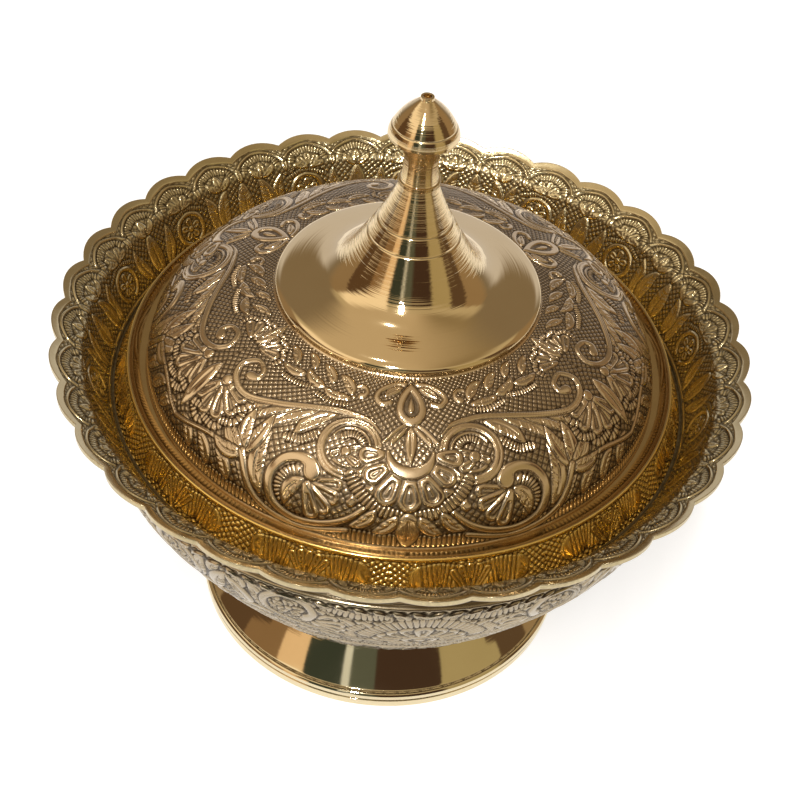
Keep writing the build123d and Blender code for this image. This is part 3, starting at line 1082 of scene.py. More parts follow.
class BellyDrawing:
    """Ornament of the belly: palmettes, ringed flowers and leaves."""

    frieze_leaves: int = 11
    row_leaves: int = 8
    calyx_leaves: int = 4

    def draw(self, board: Board) -> None:
        """Draws from the calyx at the foot to the frieze under the plain neck.

        Args:
            board: Where it is drawn.
        """
        top, half = float(board.up[-1]), float(board.across[-1])
        board.moat = 0.75
        board.lattice(1.7, 45.0, low=0.45)
        self._frieze(board, top, half)
        self._calyx(board, half, top - 38.0)
        self._leaves(board, top, half)
        self._ring(board, top)
        self._palmette(board, top)

    def _frieze(self, board: Board, top: float, half: float) -> None:
        """Draws the two rows of leaves under the plain neck.

        Args:
            board: Where they are drawn.
            top: Height of the board's upper edge.
            half: Width of the board.
        """
        for n in range(self.frieze_leaves):
            root = n * half / self.frieze_leaves
            board.leaf((root, top - 7.0), (root + 3.6, top - 0.5), 1.7, 0.12, 3)
            board.leaf((root - 1.0, top - 13.0), (root + 3.4, top - 6.6), 1.7, 0.12, 3)

    def _calyx(self, board: Board, half: float, crown: float) -> None:
        """Draws the upright leaves that rise from the foot.

        Args:
            board: Where they are drawn.
            half: Width of the board.
            crown: Height of the band over them.
        """
        board.band(0.0, 3.0)
        pitch = half / self.calyx_leaves
        for n in range(self.calyx_leaves + 1):
            middle = n * pitch
            board.leaf((middle + pitch / 2, 4.0), (middle + pitch / 2, crown - 14.0), 3.2, veins=6)
            board.leaf((middle, 4.0), (middle, crown - 1.0), 4.2, veins=6)
            board.form(around((middle + pitch / 2, crown - 6.0), 3.2, 0, 180), 0.5)
        board.band(crown, 0.7)
        board.hem(crown + 4.0, -2.4, 1.3)

    def _leaves(self, board: Board, top: float, half: float) -> None:
        """Draws the row of leaves over the calyx and the feathers between the rings.

        Args:
            board: Where they are drawn.
            top: Height of the board's upper edge.
            half: Width of the board.
        """
        for n in range(self.row_leaves):
            root = 4.0 + n * half / self.row_leaves
            board.leaf((root, top - 32.0), (root + 4.0, top - 22.6), 1.9, 0.12, 4)
        for root, tip, breadth in (
                ((41.0, top - 15.0), (44.0, top - 1.8), 2.2), ((45.4, top - 17.5), (50.3, top - 4.0), 2.4),
                ((39.0, top - 19.0), (48.6, top - 20.0), 2.0)):
            board.leaf(root, tip, breadth, 0.08, 4)

    def _ring(self, board: Board, top: float) -> None:
        """Draws the ringed flower with its stem, petals and hatched bands.

        Args:
            board: Where it is drawn.
            top: Height of the board's upper edge.
        """
        middle = (33.4, top - 8.6)
        board.comb(flow([(10.4, top - 2.2), (16.4, top - 3.0), (22.0, top - 2.0)]), -3.0, 1.3)
        board.comb(flow([(14.6, top - 11.6), (17.0, top - 16.0), (16.4, top - 21.0)]), 3.0, 1.3)
        board.fan((28.4, top - 13.6), 1.4, 9.4, (110, 138, 166, 194, 222), 2.0)
        board.scroll(flow([(7.0, top - 30.0), (14.0, top - 25.4), (23.0, top - 20.6), (32.6, top - 18.4),
                           (39.4, top - 14.4), (40.0, top - 7.4), (35.4, top - 2.6), (29.6, top - 3.2),
                           (27.2, top - 8.2), (29.4, top - 12.6)]), 0.8, 1.1, 1.7)
        board.fan(middle, 0.9, 4.2, (20, 92, 164, 236, 308), 1.35)
        board.disc(middle, 0.9)

    def _palmette(self, board: Board, top: float) -> None:
        """Draws the palmette on the axis of the repeat.

        Args:
            board: Where it is drawn.
            top: Height of the board's upper edge.
        """
        centre = (0.0, top - 21.0)
        board.comb(around(centre, 12.6, 18, 90, steps=16), -4.6, 1.3)
        board.fan(centre, 5.2, 12.4, (2, 26, 48, 69, 90), 2.4)
        board.form(around(centre, 3.9, -30, 210), 0.85)
        board.disc(centre, 1.5)
        board.fan((0.0, top - 23.0), 3.6, 9.0, (-90, -58, -28), 2.0)


@dataclass
class Foot:
    """Flared foot, mirror polished, with a turned line over its base ring."""

    height: float = 17.0
    top_radius: float = 47.0
    wall: float = 1.6
    base_radius: float = 58.6
    hole_radius: float = 1.9
    line_depth: float = 0.4
    line_heights: Pair = (2.5, 3.0)
    columns: int = 720

    def build(self) -> bpy.types.Object:
        """Makes the foot.

        Returns:
            The foot piece.
        """
        base, plate = self.base_radius, self.height - self.wall
        low, high = self.line_heights
        pencil = Outline((base, 0.0))
        pencil.line((base, low), 0.5, 0.15)
        pencil.line((base - self.line_depth, low), 0.3, 0.1)
        pencil.line((base - self.line_depth, high), 0.3, 0.1)
        pencil.arc((base + 0.4, 4.12), (57.2, 5.8), 0.4, 0.2)
        pencil.arc((51.7, 11.0), (self.top_radius, self.height), 0.5, 0.3)
        pencil.line((self.hole_radius, self.height), 4.0, 0.2)
        pencil.line((self.hole_radius, plate), 1.0, 0.2)
        pencil.line((self.top_radius - 2 * self.wall, plate), 4.0, 0.3)
        pencil.beside(4, self.wall, 1.0, 0.3)
        pencil.line((base - 2 * self.wall, 3.0), 0.6, 0.2)
        pencil.line((base - 2 * self.wall, 0.0), 0.6, 0.2)
        pencil.line((base, 0.0), 0.8, 0.2)
        return TurnedPiece("foot_flank", pencil.rows()[0], self.columns).build()


@dataclass
class Lid:
    """Domed lid with its skirt, ridge and hollow ring."""

    skirt_radius: float = 83.2
    ledge_height: float = 84.9
    ridge_radius: float = 79.1
    ridge_height: float = 94.8
    dome_radius: float = 74.0
    ring_height: float = 91.9
    ring_radius: float = 72.6
    crown_radius: float = 37.9
    crown_height: float = 119.1
    wall: float = 1.4
    hole_radius: float = 1.9
    relief: float = 0.44
    skirt_relief: float = 0.5
    columns: int = 1440
    dome_repeat: Repeat = Repeat(3, 275.0, 60.0)
    skirt_repeat: Repeat = Repeat(12, 257.0, 81.0)

    def build_dome(self) -> bpy.types.Object:
        """Makes the engraved dome with its plain inside.

        Returns:
            The dome piece.
        """
        pencil = Outline((self.dome_radius, self.ring_height))
        pencil.curve([(73.0, 97.6), (64.8, 109.5), (self.crown_radius, self.crown_height)],
                     (-1, 5.7), (-1, 0.2), 0.28, 0.2)
        pencil.line((self.hole_radius, self.crown_height), 4.0, 0.2)
        pencil.line((self.hole_radius, self.crown_height - self.wall), 1.0, 0.2)
        pencil.line((37.6, self.crown_height - self.wall), 4.0, 0.3)
        pencil.curve([(64.0, 108.3), (71.65, 97.3), (72.62, 91.66)], (1, -0.2), (1, -5.7), 1.5, 0.1)
        pencil.line((self.dome_radius, self.ring_height), 1.0, 0.0)
        rows, owners = pencil.rows()
        piece = TurnedPiece("lid_dome", rows, self.columns)
        piece.engrave(np.flatnonzero(owners == 0), self.dome_repeat, self.relief, DomeDrawing().draw)
        return piece.build()

    def build_skirt(self) -> bpy.types.Object:
        """Makes the engraved skirt, the ridge and the plain hollow ring.

        Returns:
            The skirt piece.
        """
        pencil = Outline((self.skirt_radius, self.ledge_height))
        pencil.line((self.ridge_radius, self.ridge_height), 0.26, 0.3)
        pencil.line((self.ridge_radius - 0.8, self.ridge_height), 0.2, 0.3)
        pencil.arc((76.3, 92.25), (self.dome_radius, self.ring_height), 0.4, 0.1)
        pencil.line((self.ring_radius, self.ring_height), 1.0, 0.0)
        pencil.line((self.ring_radius, self.ring_height - self.wall), 1.0, 0.2)
        pencil.line((79.48, self.ring_height - self.wall), 1.5, 0.3)
        pencil.line((81.8, self.ledge_height), 1.0, 0.1)
        pencil.line((self.skirt_radius, self.ledge_height), 1.0, 0.1)
        rows, owners = pencil.rows()
        ridge_and_ring = (owners > 0) & (owners < 4)
        piece = TurnedPiece("lid_skirt", rows, self.columns, second=ridge_and_ring)
        piece.engrave(np.flatnonzero(owners == 0), self.skirt_repeat, self.skirt_relief,
                      SkirtDrawing().draw)
        return piece.build()


class SkirtDrawing:
    """Ornament of the lid's skirt: diamonds, combs and a small fan."""

    def draw(self, board: Board) -> None:
        """Draws one half repeat.

        Args:
            board: Where it is drawn.
        """
        board.lattice(1.55, 38.0, 1.2, 0.2)
        board.comb(flow([(4.0, 8.6), (8.0, 9.2), (13.0, 8.6)]), -7.6, 1.15)
        board.fan((0.0, -1.0), 0.8, 9.6, (90, 74, 58), 0.9)
        board.band(float(board.up[-1]), 1.0, 0.3)


class DomeDrawing:
    """Ornament of the dome: a palmette, scrolls, fans and leaves on a lattice."""

    def draw(self, board: Board) -> None:
        """Draws one half repeat from the border up to the flange.

        Args:
            board: Where it is drawn.
        """
        board.lattice(1.5, 52.0, low=0.6)
        self._border(board)
        self._flange_sprays(board)
        self._feathers(board)
        self._leaf_cluster(board)
        self._fan(board)
        self._upper_stem(board)
        self._lower_scroll(board)
        self._ring(board)
        self._palmette(board)

    def _border(self, board: Board) -> None:
        """Draws the ticked border and the small leaves along it.

        Args:
            board: Where it is drawn.
        """
        board.hem(4.2, -3.2, 1.05)
        board.band(0.0, 0.8)
        for middle in (38.5, 45.0, 51.5, 58.0):
            board.leaf((middle - 2.6, 4.2), (middle + 2.8, 9.4), 1.6, 0.12, 3)
        board.form(flow([(34.5, 3.6), (40.0, 10.2), (50.0, 11.0), (60.0, 8.0), (66.0, 6.4)]), 0.5)

    def _feathers(self, board: Board) -> None:
        """Draws the feather leaves that hang from the S-shaped stem.

        Args:
            board: Where it is drawn.
        """
        for root, tip, breadth in (
                ((22.5, 31.4), (31.0, 21.4), 2.3), ((28.4, 30.8), (38.4, 19.6), 2.4),
                ((34.8, 28.6), (45.4, 17.4), 2.3), ((41.4, 26.0), (50.6, 17.2), 1.9)):
            board.leaf(root, tip, breadth, 0.14, 4)
        board.leaf((33.6, 5.8), (36.6, 19.8), 2.1, -0.12, 5)
        board.comb(flow([(24.6, 23.6), (28.2, 20.4), (32.2, 19.4)]), 2.4, 0.95)

    def _upper_stem(self, board: Board) -> None:
        """Draws the S-shaped stem with its curl.

        Args:
            board: Where it is drawn.
        """
        stem = flow([(9.4, 29.0), (13.2, 32.4), (21.6, 33.4), (31.0, 31.0), (40.0, 27.4), (49.0, 24.2),
                     (55.6, 25.6), (58.4, 30.0), (55.6, 34.2), (51.4, 33.2), (50.6, 30.2), (53.0, 29.0)])
        board.scroll(stem, 0.85, 0.8, 1.5)

    def _flange_sprays(self, board: Board) -> None:
        """Draws the sprays and curls under the finial's flange.

        Args:
            board: Where it is drawn.
        """
        board.scroll(around((18.0, 42.4), 3.3, -60, 250, 1.8), 0.6, 0.75, 1.2)
        for root, tip, breadth, bend in (
                ((20.6, 40.4), (28.0, 46.8), 2.0, 0.14), ((20.8, 38.6), (31.0, 39.6), 1.9, -0.12),
                ((28.6, 42.4), (36.0, 48.4), 1.9, 0.1), ((30.8, 39.6), (40.0, 43.6), 1.9, -0.12),
                ((38.0, 44.6), (44.6, 49.6), 1.7, 0.12), ((39.6, 40.8), (49.0, 40.0), 1.8, -0.1),
                ((45.0, 42.6), (53.0, 47.6), 1.7, 0.1)):
            board.leaf(root, tip, breadth, bend, 4)
        board.comb(flow([(21.5, 37.2), (26.0, 36.4), (31.0, 37.2)]), -2.0, 1.0)
        board.comb(flow([(35.0, 38.6), (40.0, 37.4), (45.0, 37.2)]), -2.0, 1.0)
        board.fan((60.0, 37.0), 1.0, 8.4, (62, 95, 128, 160), 1.6, True)
        board.leaf((62.8, 38.0), (62.8, 51.0), 2.3, 0.0, 4)

    def _fan(self, board: Board) -> None:
        """Draws the large fan of combed petals under the curl.

        Args:
            board: Where it is drawn.
        """
        board.fan((57.0, 23.4), 1.5, 10.4, (-92, -120, -148), 1.9, True)
        board.fan((57.0, 23.4), 1.2, 9.0, (-64, -174), 1.6, True)
        board.leaf((62.8, 25.0), (62.8, 10.0), 2.0, 0.0, 4)
        board.disc((57.0, 23.6), 1.5)

    def _leaf_cluster(self, board: Board) -> None:
        """Draws the leaves that spread from the top of the lower stem.

        Args:
            board: Where it is drawn.
        """
        for tip, breadth, bend in (
                ((38.6, 24.0), 1.9, 0.06), ((43.8, 22.8), 1.9, -0.06), ((48.4, 17.6), 1.9, -0.12),
                ((49.4, 11.4), 1.7, -0.14)):
            board.leaf((41.0, 11.8), tip, breadth, bend, 4)
        board.scroll(flow([(13.0, 3.6), (21.0, 1.7), (29.4, 1.9), (35.8, 5.0), (41.0, 12.2)]), 0.5, 0.8)

    def _ring(self, board: Board) -> None:
        """Draws the ringed flower beside the palmette.

        Args:
            board: Where it is drawn.
        """
        centre = (16.0, 23.6)
        board.form(around(centre, 7.5, -40, 320), 1.05)
        board.cut(around(centre, 7.7, -40, 320), 0.2, 0.55)
        board.form(around(centre, 5.3, 20, 310), 0.32, moat=0.4)
        board.comb(around(centre, 4.6, 160, 50), -2.2, 0.95)
        board.petal((16.6, 21.2), (12.4, 19.0), 1.2)
        board.petal((16.6, 22.8), (12.2, 23.6), 1.1)
        board.petal((17.4, 22.2), (20.2, 20.0), 1.1)
        board.disc((16.6, 22.0), 1.3)

    def _lower_scroll(self, board: Board) -> None:
        """Draws the scroll that ends in a bulb, with its petals and hatched arc.

        Args:
            board: Where it is drawn.
        """
        board.comb(around((25.4, 10.2), 5.4, 66, -66), -2.7, 1.0)
        board.fan((23.8, 12.4), 0.8, 8.6, (172, -163, -138, -113), 1.7)
        board.leaf((24.8, 12.4), (27.2, 5.6), 1.7, 0.16, 2)
        line = flow([(9.4, 9.8), (13.4, 6.2), (18.8, 3.7), (25.0, 3.0), (30.2, 5.2), (32.5, 10.2),
                     (31.0, 15.0), (27.4, 17.2), (24.2, 16.8), (22.9, 14.8)])
        board.scroll(line, 0.5, 1.35, 2.0)
        board.form(flow([(8.6, 13.8), (11.2, 12.8), (12.8, 10.4)]), 1.0)

    def _palmette(self, board: Board) -> None:
        """Draws the palmette on the axis of the repeat, with the drop above it.

        Args:
            board: Where it is drawn.
        """
        centre = (0.0, 24.6)
        board.comb(around(centre, 14.8, -30, -90, steps=20), 2.8, 0.95)
        board.fan(centre, 7.6, 13.6, (-12, -39), 2.3)
        board.fan(centre, 7.8, 15.0, (-65, -90), 2.6)
        crescent = around(centre, 6.0, -4, -176, steps=24)
        board.form(crescent, 0.3 + 1.3 * np.sin(np.linspace(0, math.pi, len(crescent))))
        board.leaf((0.0, 31.8), (0.0, 20.6), 1.5, 0.0, 0)
        board.leaf((0.9, 31.8), (5.4, 25.6), 1.3, 0.12, 0)
        board.form(flow([(0.6, 33.0), (3.8, 31.0), (7.4, 26.6)]), 0.5)
        board.form(np.array([(-2.6, 33.8), (2.6, 33.8)]), 0.6)
        share = np.linspace(0.0, 1.0, 15)
        swell = np.sin(math.pi * np.clip(share, 0.02, 0.985) ** 0.55) ** 0.9
        board.form(np.column_stack([0 * share, 34.6 + 14.8 * share]), 4.9 * swell)
        board.sink(np.column_stack([0 * share, 36.2 + 9.4 * share]), 2.7 * swell, 0.9)
        board.form(np.column_stack([0 * share, 37.0 + 6.2 * share]), 1.0 * swell, -0.05, 0.2)
        board.form(flow([(2.4, 49.2), (7.0, 48.2), (11.0, 45.2), (12.2, 41.8), (10.0, 39.4),
                         (7.2, 40.2)]), 0.95)
        board.leaf((3.4, 47.0), (9.4, 42.2), 1.6, 0.1, 0)
        board.leaf((0.0, 8.6), (0.0, 1.2), 2.5, 0.0, 0)
        board.leaf((2.6, 8.2), (7.4, 4.4), 1.4, -0.12, 2)
        board.leaf((7.4, 9.2), (12.4, 5.0), 1.3, -0.12, 2)


@dataclass
class Finial:
    """Spun finial: flanged bell, cone and neck, with an acorn knob on top."""

    base_height: float = 119.1
    flange_radius: float = 37.4
    cone_top: float = 154.9
    neck_radius: float = 5.2
    collar_radius: float = 5.7
    collar_height: float = 1.2
    hollow_rise: float = 21.5
    knob_height: float = 169.5
    knob_radius: float = 9.4
    hole_radius: float = 1.9
    line_rises: tuple[float, ...] = (19.7, 24.2)
    line_depth: float = 0.16
    line_reach: float = 0.16
    bell_columns: int = 720
    knob_columns: int = 480
    axis_radius: float = 0.02
    socket_depth: float = 6.1
    tip_rise: float = 11.5
    eye_radius: float = 1.1
    eye_depth: float = 1.8

    def _turned_lines(self, piece: TurnedPiece, heights: Sequence[float], least: float) -> None:
        """Sinks fine turned lines where the outer wall passes set heights.

        Args:
            piece: The piece that they are turned in.
            heights: Height of each line.
            least: Radius that tells the outer wall from the inner one.
        """
        rows = piece.outline
        level = np.zeros((len(rows), piece.columns))
        for height in heights:
            near = np.exp(-((rows[:, 1] - height) / self.line_reach) ** 2) * (rows[:, 0] > least)
            level -= self.line_depth * near[:, None]
        piece.levels[0] = level

    def build_bell(self) -> bpy.types.Object:
        """Makes flange, cone, collar and neck.

        Returns:
            The bell piece.
        """
        base, top = self.base_height, self.cone_top
        pencil = Outline((self.flange_radius, base))
        pencil.line((self.flange_radius, base + 1.0), 0.3, 0.0)
        pencil.curve([(33.6, base + 3.5), (22.0, base + 7.1), (15.4, base + 15.2),
                      (self.neck_radius, top)], (0, 1), (-0.35, 1), 0.2, 0.1)
        pencil.line((self.collar_radius, top), 0.2, 0.15)
        pencil.line((self.collar_radius, top + self.collar_height), 0.2, 0.15)
        pencil.line((self.neck_radius, top + self.collar_height), 0.2, 0.1)
        pencil.arc((4.7, top + 6.57), (6.1, self.knob_height), 0.3, 0.1)
        pencil.line((self.hole_radius, self.knob_height), 1.0, 0.1)
        pencil.line((self.hole_radius, base + self.hollow_rise), 2.0, 0.1)
        pencil.line((self.neck_radius, base + self.hollow_rise), 1.0, 0.3)
        pencil.curve([(12.2, base + 15.2), (20.4, base + 5.5), (32.0, base + 1.9), (34.2, base)],
                     (0.4, -1), (0.6, -1), 1.0, 0.1)
        pencil.line((self.flange_radius, base), 1.0, 0.1)
        piece = TurnedPiece("finial_bell_spun", pencil.rows()[0], self.bell_columns)
        self._turned_lines(piece, [base + rise for rise in self.line_rises], 7.0)
        return piece.build()

    def build_knob(self) -> bpy.types.Object:
        """Makes the acorn knob with its eye.

        Returns:
            The knob piece.
        """
        base = self.knob_height
        socket, tip = base + self.socket_depth, base + self.tip_rise
        pencil = Outline((self.axis_radius, socket))
        pencil.line((self.hole_radius, socket), 0.6, 0.1)
        pencil.line((self.hole_radius, base), 1.0, 0.1)
        pencil.line((self.knob_radius, base), 0.6, 0.12)
        pencil.line((self.knob_radius, base + 0.6), 0.2, 0.1)
        pencil.curve([(8.6, base + 3.0), (6.0, base + 6.9), (1.8, base + 10.6)], (0, 1), (-1, 0.7), 0.15, 0.1)
        pencil.line((1.8, tip), 0.2, 0.2)
        pencil.line((self.eye_radius, tip), 0.2, 0.15)
        pencil.line((self.eye_radius, tip - self.eye_depth), 0.3, 0.1)
        pencil.line((self.axis_radius, tip - self.eye_depth), 0.3, 0.0)
        pencil.line((self.axis_radius, socket), 1.0, 0.0)
        piece = TurnedPiece("finial_knob_acorn", pencil.rows()[0], self.knob_columns)
        self._turned_lines(piece, [base + 3.2], 5.0)
        return piece.build()


@dataclass(frozen=True)
class Room:
    """Room that polished metal mirrors: pale at the back, warm and dark shapes in front.

    Azimuths are in degrees from +X, and 270 is towards the camera. Rises are in degrees
    above the horizon. A pair gives where one colour starts to turn into the next, and
    where it has done so.
    """

    back: Colour = (0.70, 0.67, 0.68)
    side: Colour = (0.26, 0.21, 0.15)
    beam: Colour = (0.27, 0.21, 0.14)
    ceiling: Colour = (0.66, 0.53, 0.36)
    ceiling_right: Colour = (0.34, 0.26, 0.15)
    haze: Colour = (0.60, 0.50, 0.33)
    glow: Colour = (1.2, 1.02, 0.78)
    stripe_top: float = 46.0
    stripes: tuple[tuple[float, Colour], ...] = (
        (134.0, (0.34, 0.24, 0.14)), (172.0, (0.13, 0.075, 0.04)), (206.0, (0.30, 0.18, 0.09)),
        (226.0, (0.95, 0.66, 0.40)), (240.0, (0.05, 0.06, 0.045)), (260.0, (0.8, 0.8, 0.75)),
        (263.5, (0.12, 0.13, 0.10)), (277.0, (0.07, 0.04, 0.026)), (311.0, (0.48, 0.39, 0.21)),
        (342.0, (0.13, 0.08, 0.045)), (366.0, (0.36, 0.25, 0.14)), (400.0, (0.26, 0.21, 0.15)))
    stripe_blur: float = 1.5
    glow_starts: Pair = (150.0, 166.0)
    glow_ends: Pair = (236.0, 240.0)
    glow_rise: float = 28.0
    glow_corner: float = 232.0
    glow_reach: float = 80.0
    glow_climb: float = 0.2
    glow_blur: float = 5.0
    back_azimuth: float = 90.0
    side_edge: Pair = (32.0, 50.0)
    beam_edge: Pair = (25.0, 33.0)
    far_edge: Pair = (46.0, 60.0)
    ceiling_edge: Pair = (52.0, 64.0)
    right_azimuth: float = 10.0
    right_edge: Pair = (0.0, 0.4)

    def colour(self, azimuth: np.ndarray, rise: np.ndarray) -> np.ndarray:
        """Colour of the room in each direction.

        Args:
            azimuth: Directions round the dish in degrees.
            rise: Heights above the horizon in degrees.

        Returns:
            Red, green and blue for each direction.
        """
        def over(under: np.ndarray, colour: object, share: np.ndarray) -> np.ndarray:
            """Lays a colour over what is there."""
            return under + (np.asarray(colour) - under) * share[..., None]

        first = self.stripes[0][0]
        turn = (azimuth - first) % 360.0 + first
        starts = [start for start, _ in self.stripes]
        shades = np.array([colour for _, colour in self.stripes])
        near = shades[np.searchsorted(starts, turn, side="right") - 1]
        top, blur = self.stripe_top, self.stripe_blur
        near = over(near, self.haze, smoothstep(rise, top - blur, top + blur))
        warm = smoothstep(turn, *self.glow_starts) * (1 - smoothstep(turn, *self.glow_ends))
        low = self.glow_rise + np.clip(self.glow_corner - turn, 0.0, self.glow_reach) * self.glow_climb
        near = over(near, self.glow, warm * smoothstep(rise, low, low + self.glow_blur))
        away = np.abs((azimuth - self.back_azimuth + 180.0) % 360.0 - 180.0)
        far = over(np.broadcast_to(self.back, near.shape), self.side, smoothstep(away, *self.side_edge))
        far = over(far, self.beam, smoothstep(rise, *self.beam_edge))
        walls = over(near, far, 1 - smoothstep(away, *self.far_edge))
        lean = np.cos(np.radians(azimuth - self.right_azimuth)) * np.cos(np.radians(rise))
        ceiling = over(np.broadcast_to(self.ceiling, near.shape), self.ceiling_right,
                       smoothstep(lean, *self.right_edge))
        return over(walls, ceiling, smoothstep(rise, *self.ceiling_edge))


@dataclass(frozen=True)
class Lamp:
    """Soft rectangular lamp that looks at the dish.

    Its azimuth is in degrees from +X, its power in watts and all else in metres.
    """

    name: str
    azimuth: float
    height: float
    distance: float
    size: Pair
    power: float
    target_height: float = 0.08

    def hang(self) -> None:
        """Puts the lamp in the scene."""
        turn = math.radians(self.azimuth)
        light = bpy.data.lights.new(self.name, "AREA")
        light.shape = "RECTANGLE"
        light.size, light.size_y = self.size
        light.energy = self.power
        spot = Vector((self.distance * math.cos(turn), self.distance * math.sin(turn), self.height))
        holder = show(self.name, light)
        holder.location = spot
        look = spot - Vector((0, 0, self.target_height))
        holder.rotation_euler = look.to_track_quat("Z", "Y").to_euler()


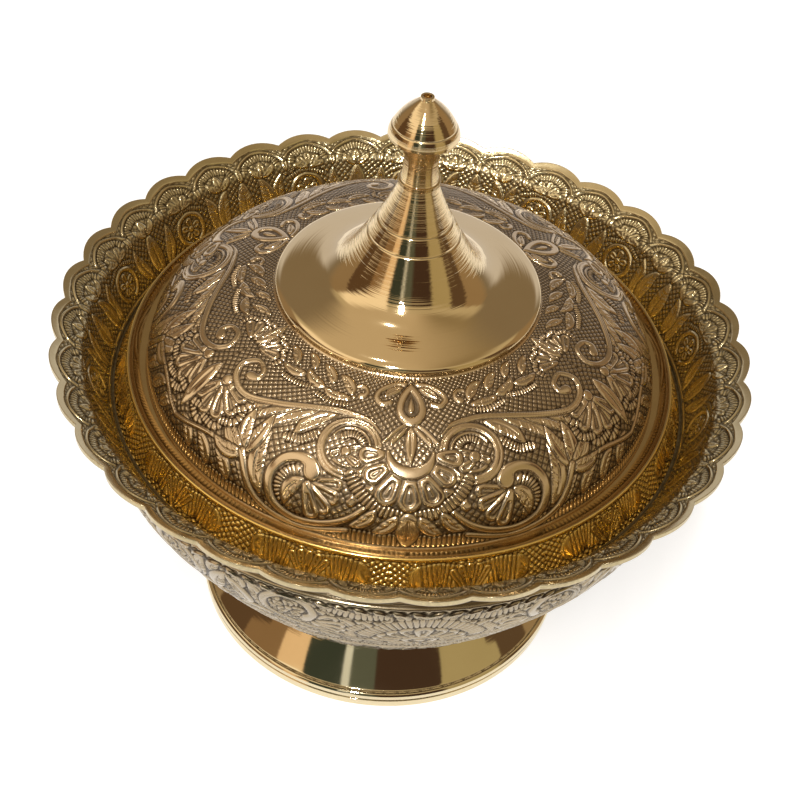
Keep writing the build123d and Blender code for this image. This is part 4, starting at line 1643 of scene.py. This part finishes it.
@dataclass
class Studio:
    """Plain studio: pale floor, soft lamps and the room that the metal mirrors.

    The camera was fitted to the photograph in rim radii, and `unit` is one in metres.
    """

    focal_px: float = 1460.857
    distance: float = 4.2
    elevation: float = 0.76368
    roll: float = 0.10374
    shift_x: float = -0.01266
    shift_z: float = -0.2138
    image_px: float = 800.0
    unit: float = 0.1
    rim_height: float = 0.1044
    room_radius: float = 1.5
    flag_radius: float = 0.158
    flag_heights: Pair = (0.05, 0.148)
    flag_turns: Pair = (190.0, 350.0)
    flag_shift: float = 3.0
    flag_rises: Pair = (5.0, 60.0)
    flag_grid: tuple[int, int] = (161, 23)
    room_rises: Pair = (0.5, 90.0)
    room_grid: tuple[int, int] = (361, 61)
    sensor_width: float = 36.0
    clip_end: float = 50.0
    surroundings: Colour = (0.85, 0.85, 0.85)
    white: Colour = (1.0, 1.0, 1.0)
    floor_colour: Colour = (0.5, 0.5, 0.5)
    floor_glow: float = 0.75
    floor_reach: float = 12.0
    lamps: tuple[Lamp, ...] = (Lamp("window", 262.0, 1.25, 0.82, (0.06, 0.35), 11.0),
                               Lamp("ceiling_lamp", 150.0, 1.1, 0.14, (0.03, 0.03), 0.8))

    def set_camera(self) -> None:
        """Places the camera that was fitted to the photograph."""
        rise, lean = self.elevation, self.roll
        back = Vector((0, -math.cos(rise), math.sin(rise)))
        right, up = Vector((1, 0, 0)), Vector((0, math.sin(rise), math.cos(rise)))
        side = right * math.cos(lean) + up * math.sin(lean)
        top = -right * math.sin(lean) + up * math.cos(lean)
        spot = (back * self.distance + side * self.shift_x + top * self.shift_z) * self.unit
        spot.z += self.rim_height
        lens = bpy.data.cameras.new("view")
        lens.sensor_width = self.sensor_width
        lens.lens = self.focal_px / self.image_px * self.sensor_width
        lens.clip_end = self.clip_end
        camera = show("view", lens)
        turn = Matrix((side, top, back)).transposed()
        camera.matrix_world = Matrix.Translation(spot) @ turn.to_4x4()
        bpy.context.scene.camera = camera

    def _screen(self, name: str, spots: np.ndarray, colours: np.ndarray) -> None:
        """Stands a glowing sheet that the camera doesn't see.

        Args:
            name: Name of the sheet.
            spots: Its points, rows by columns, in metres.
            colours: Its colour at each point.
        """
        rows, columns = spots.shape[:2]
        low = (np.arange(rows - 1)[:, None] * columns + np.arange(columns - 1)[None, :]).reshape(-1, 1)
        faces = low + [0, 1, columns + 1, columns]
        mesh = bpy.data.meshes.new(name)
        mesh.from_pydata(spots.reshape(-1, 3).tolist(), [], faces.tolist())
        shade = mesh.attributes.new("glow", "FLOAT_COLOR", "POINT")
        flat = colours.reshape(-1, 3)
        opaque = np.column_stack([flat, np.ones(len(flat))])
        shade.data.foreach_set("color", opaque.ravel().astype(np.float32))
        made = bpy.data.materials.new(name)
        bench = NodeBench(made)
        tint = bench.node("Attribute", attribute_name="glow").outputs["Color"]
        glow = bench.node("Emission", {"Color": tint, "Strength": 1.0})
        bench.node("OutputMaterial", {0: glow.outputs[0]})
        mesh.materials.append(made)
        sheet = show(name, mesh)
        sheet.visible_camera = False
        sheet.visible_shadow = False

    def set_room(self) -> None:
        """Puts the room round the dish, and its nearest shapes low in front of the foot."""
        room = Room()
        columns, rows = self.room_grid
        azimuth, rise = np.meshgrid(np.linspace(0.0, 360.0, columns), np.linspace(*self.room_rises, rows))
        turn, lift = np.radians(azimuth), np.radians(rise)
        ball = np.stack([np.cos(turn) * np.cos(lift), np.sin(turn) * np.cos(lift), np.sin(lift)], axis=-1)
        self._screen("room", ball * self.room_radius, room.colour(azimuth, rise))
        columns, rows = self.flag_grid
        azimuth, rise = np.meshgrid(np.linspace(*self.flag_turns, columns),
                                    np.linspace(*self.flag_rises, rows))
        turn = np.radians(azimuth)
        height = np.interp(rise, self.flag_rises, self.flag_heights)
        band = np.stack([np.cos(turn) * self.flag_radius, np.sin(turn) * self.flag_radius, height], axis=-1)
        self._screen("low_flags", band, room.colour(azimuth + self.flag_shift, rise))

    def set_world(self) -> None:
        """Gives the pale surroundings."""
        world = bpy.data.worlds.new("pale_room")
        bpy.context.scene.world = world
        bench = NodeBench(world)
        colour = bench.blend(bench.seen(), rgba(self.surroundings), rgba(self.white))
        glow = bench.node("Background", {"Color": colour})
        bench.node("OutputWorld", {0: glow.outputs[0]})

    def set_floor(self) -> None:
        """Lays the white floor, which keeps a soft shadow. Its glow is seen but lights nothing."""
        made = bpy.data.materials.new("white_floor")
        bench = NodeBench(made)
        matt = bench.node("BsdfDiffuse", {"Color": rgba(self.floor_colour)})
        strength = bench.math("MULTIPLY", bench.seen(), self.floor_glow)
        glow = bench.node("Emission", {"Color": rgba(self.white), "Strength": strength})
        both = bench.node("AddShader", {0: matt.outputs[0], 1: glow.outputs[0]})
        bench.node("OutputMaterial", {0: both.outputs[0]})
        mesh = bpy.data.meshes.new("floor")
        far = self.floor_reach
        mesh.from_pydata([(-far, -far, 0), (far, -far, 0), (far, far, 0), (-far, far, 0)], [], [(0, 1, 2, 3)])
        mesh.materials.append(made)
        floor = show("floor", mesh)

    def build(self) -> None:
        """Sets up the whole studio."""
        bpy.context.scene.view_settings.view_transform = "Standard"
        self.set_camera()
        self.set_world()
        self.set_floor()
        self.set_room()
        for lamp in self.lamps:
            lamp.hang()


def main() -> None:
    """Builds the dish and its studio."""
    logging.basicConfig(level=logging.INFO, format="%(name)s %(message)s")
    finishes = Finishes()
    bowl, foot, lid, finial = Bowl(), Foot(), Lid(), Finial()
    finishes.finish_piece(bowl.build_rim(), Finishes.RIM, "dish", "bowl", Finishes.BELLY_PAINTED_SHADE)
    finishes.finish_piece(bowl.build_belly(), Finishes.BELLY_PAINTED_SHADE, "dish", "bowl", Finishes.RIM)
    finishes.finish_piece(foot.build(), Finishes.FOOT, "dish", "foot")
    finishes.finish_piece(lid.build_dome(), Finishes.DOME, "lid", "lid")
    finishes.finish_piece(lid.build_skirt(), Finishes.SKIRT_PAINTED_LIGHT, "lid", "lid", Finishes.RING)
    finishes.finish_piece(finial.build_bell(), Finishes.FINIAL, "lid", "finial_bell")
    finishes.finish_piece(finial.build_knob(), Finishes.FINIAL, "lid", "finial_knob")
    for node in ("foot_screw", "foot_washer", "foot_nut", "finial_stud", "finial_washer", "finial_nut"):
        finishes.dress(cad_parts[node], Finishes.SCREW)
        LOG.info("%s: carried over", node)
    Studio().build()
    bpy.context.view_layer.update()


if __name__ == "__main__":
    main()
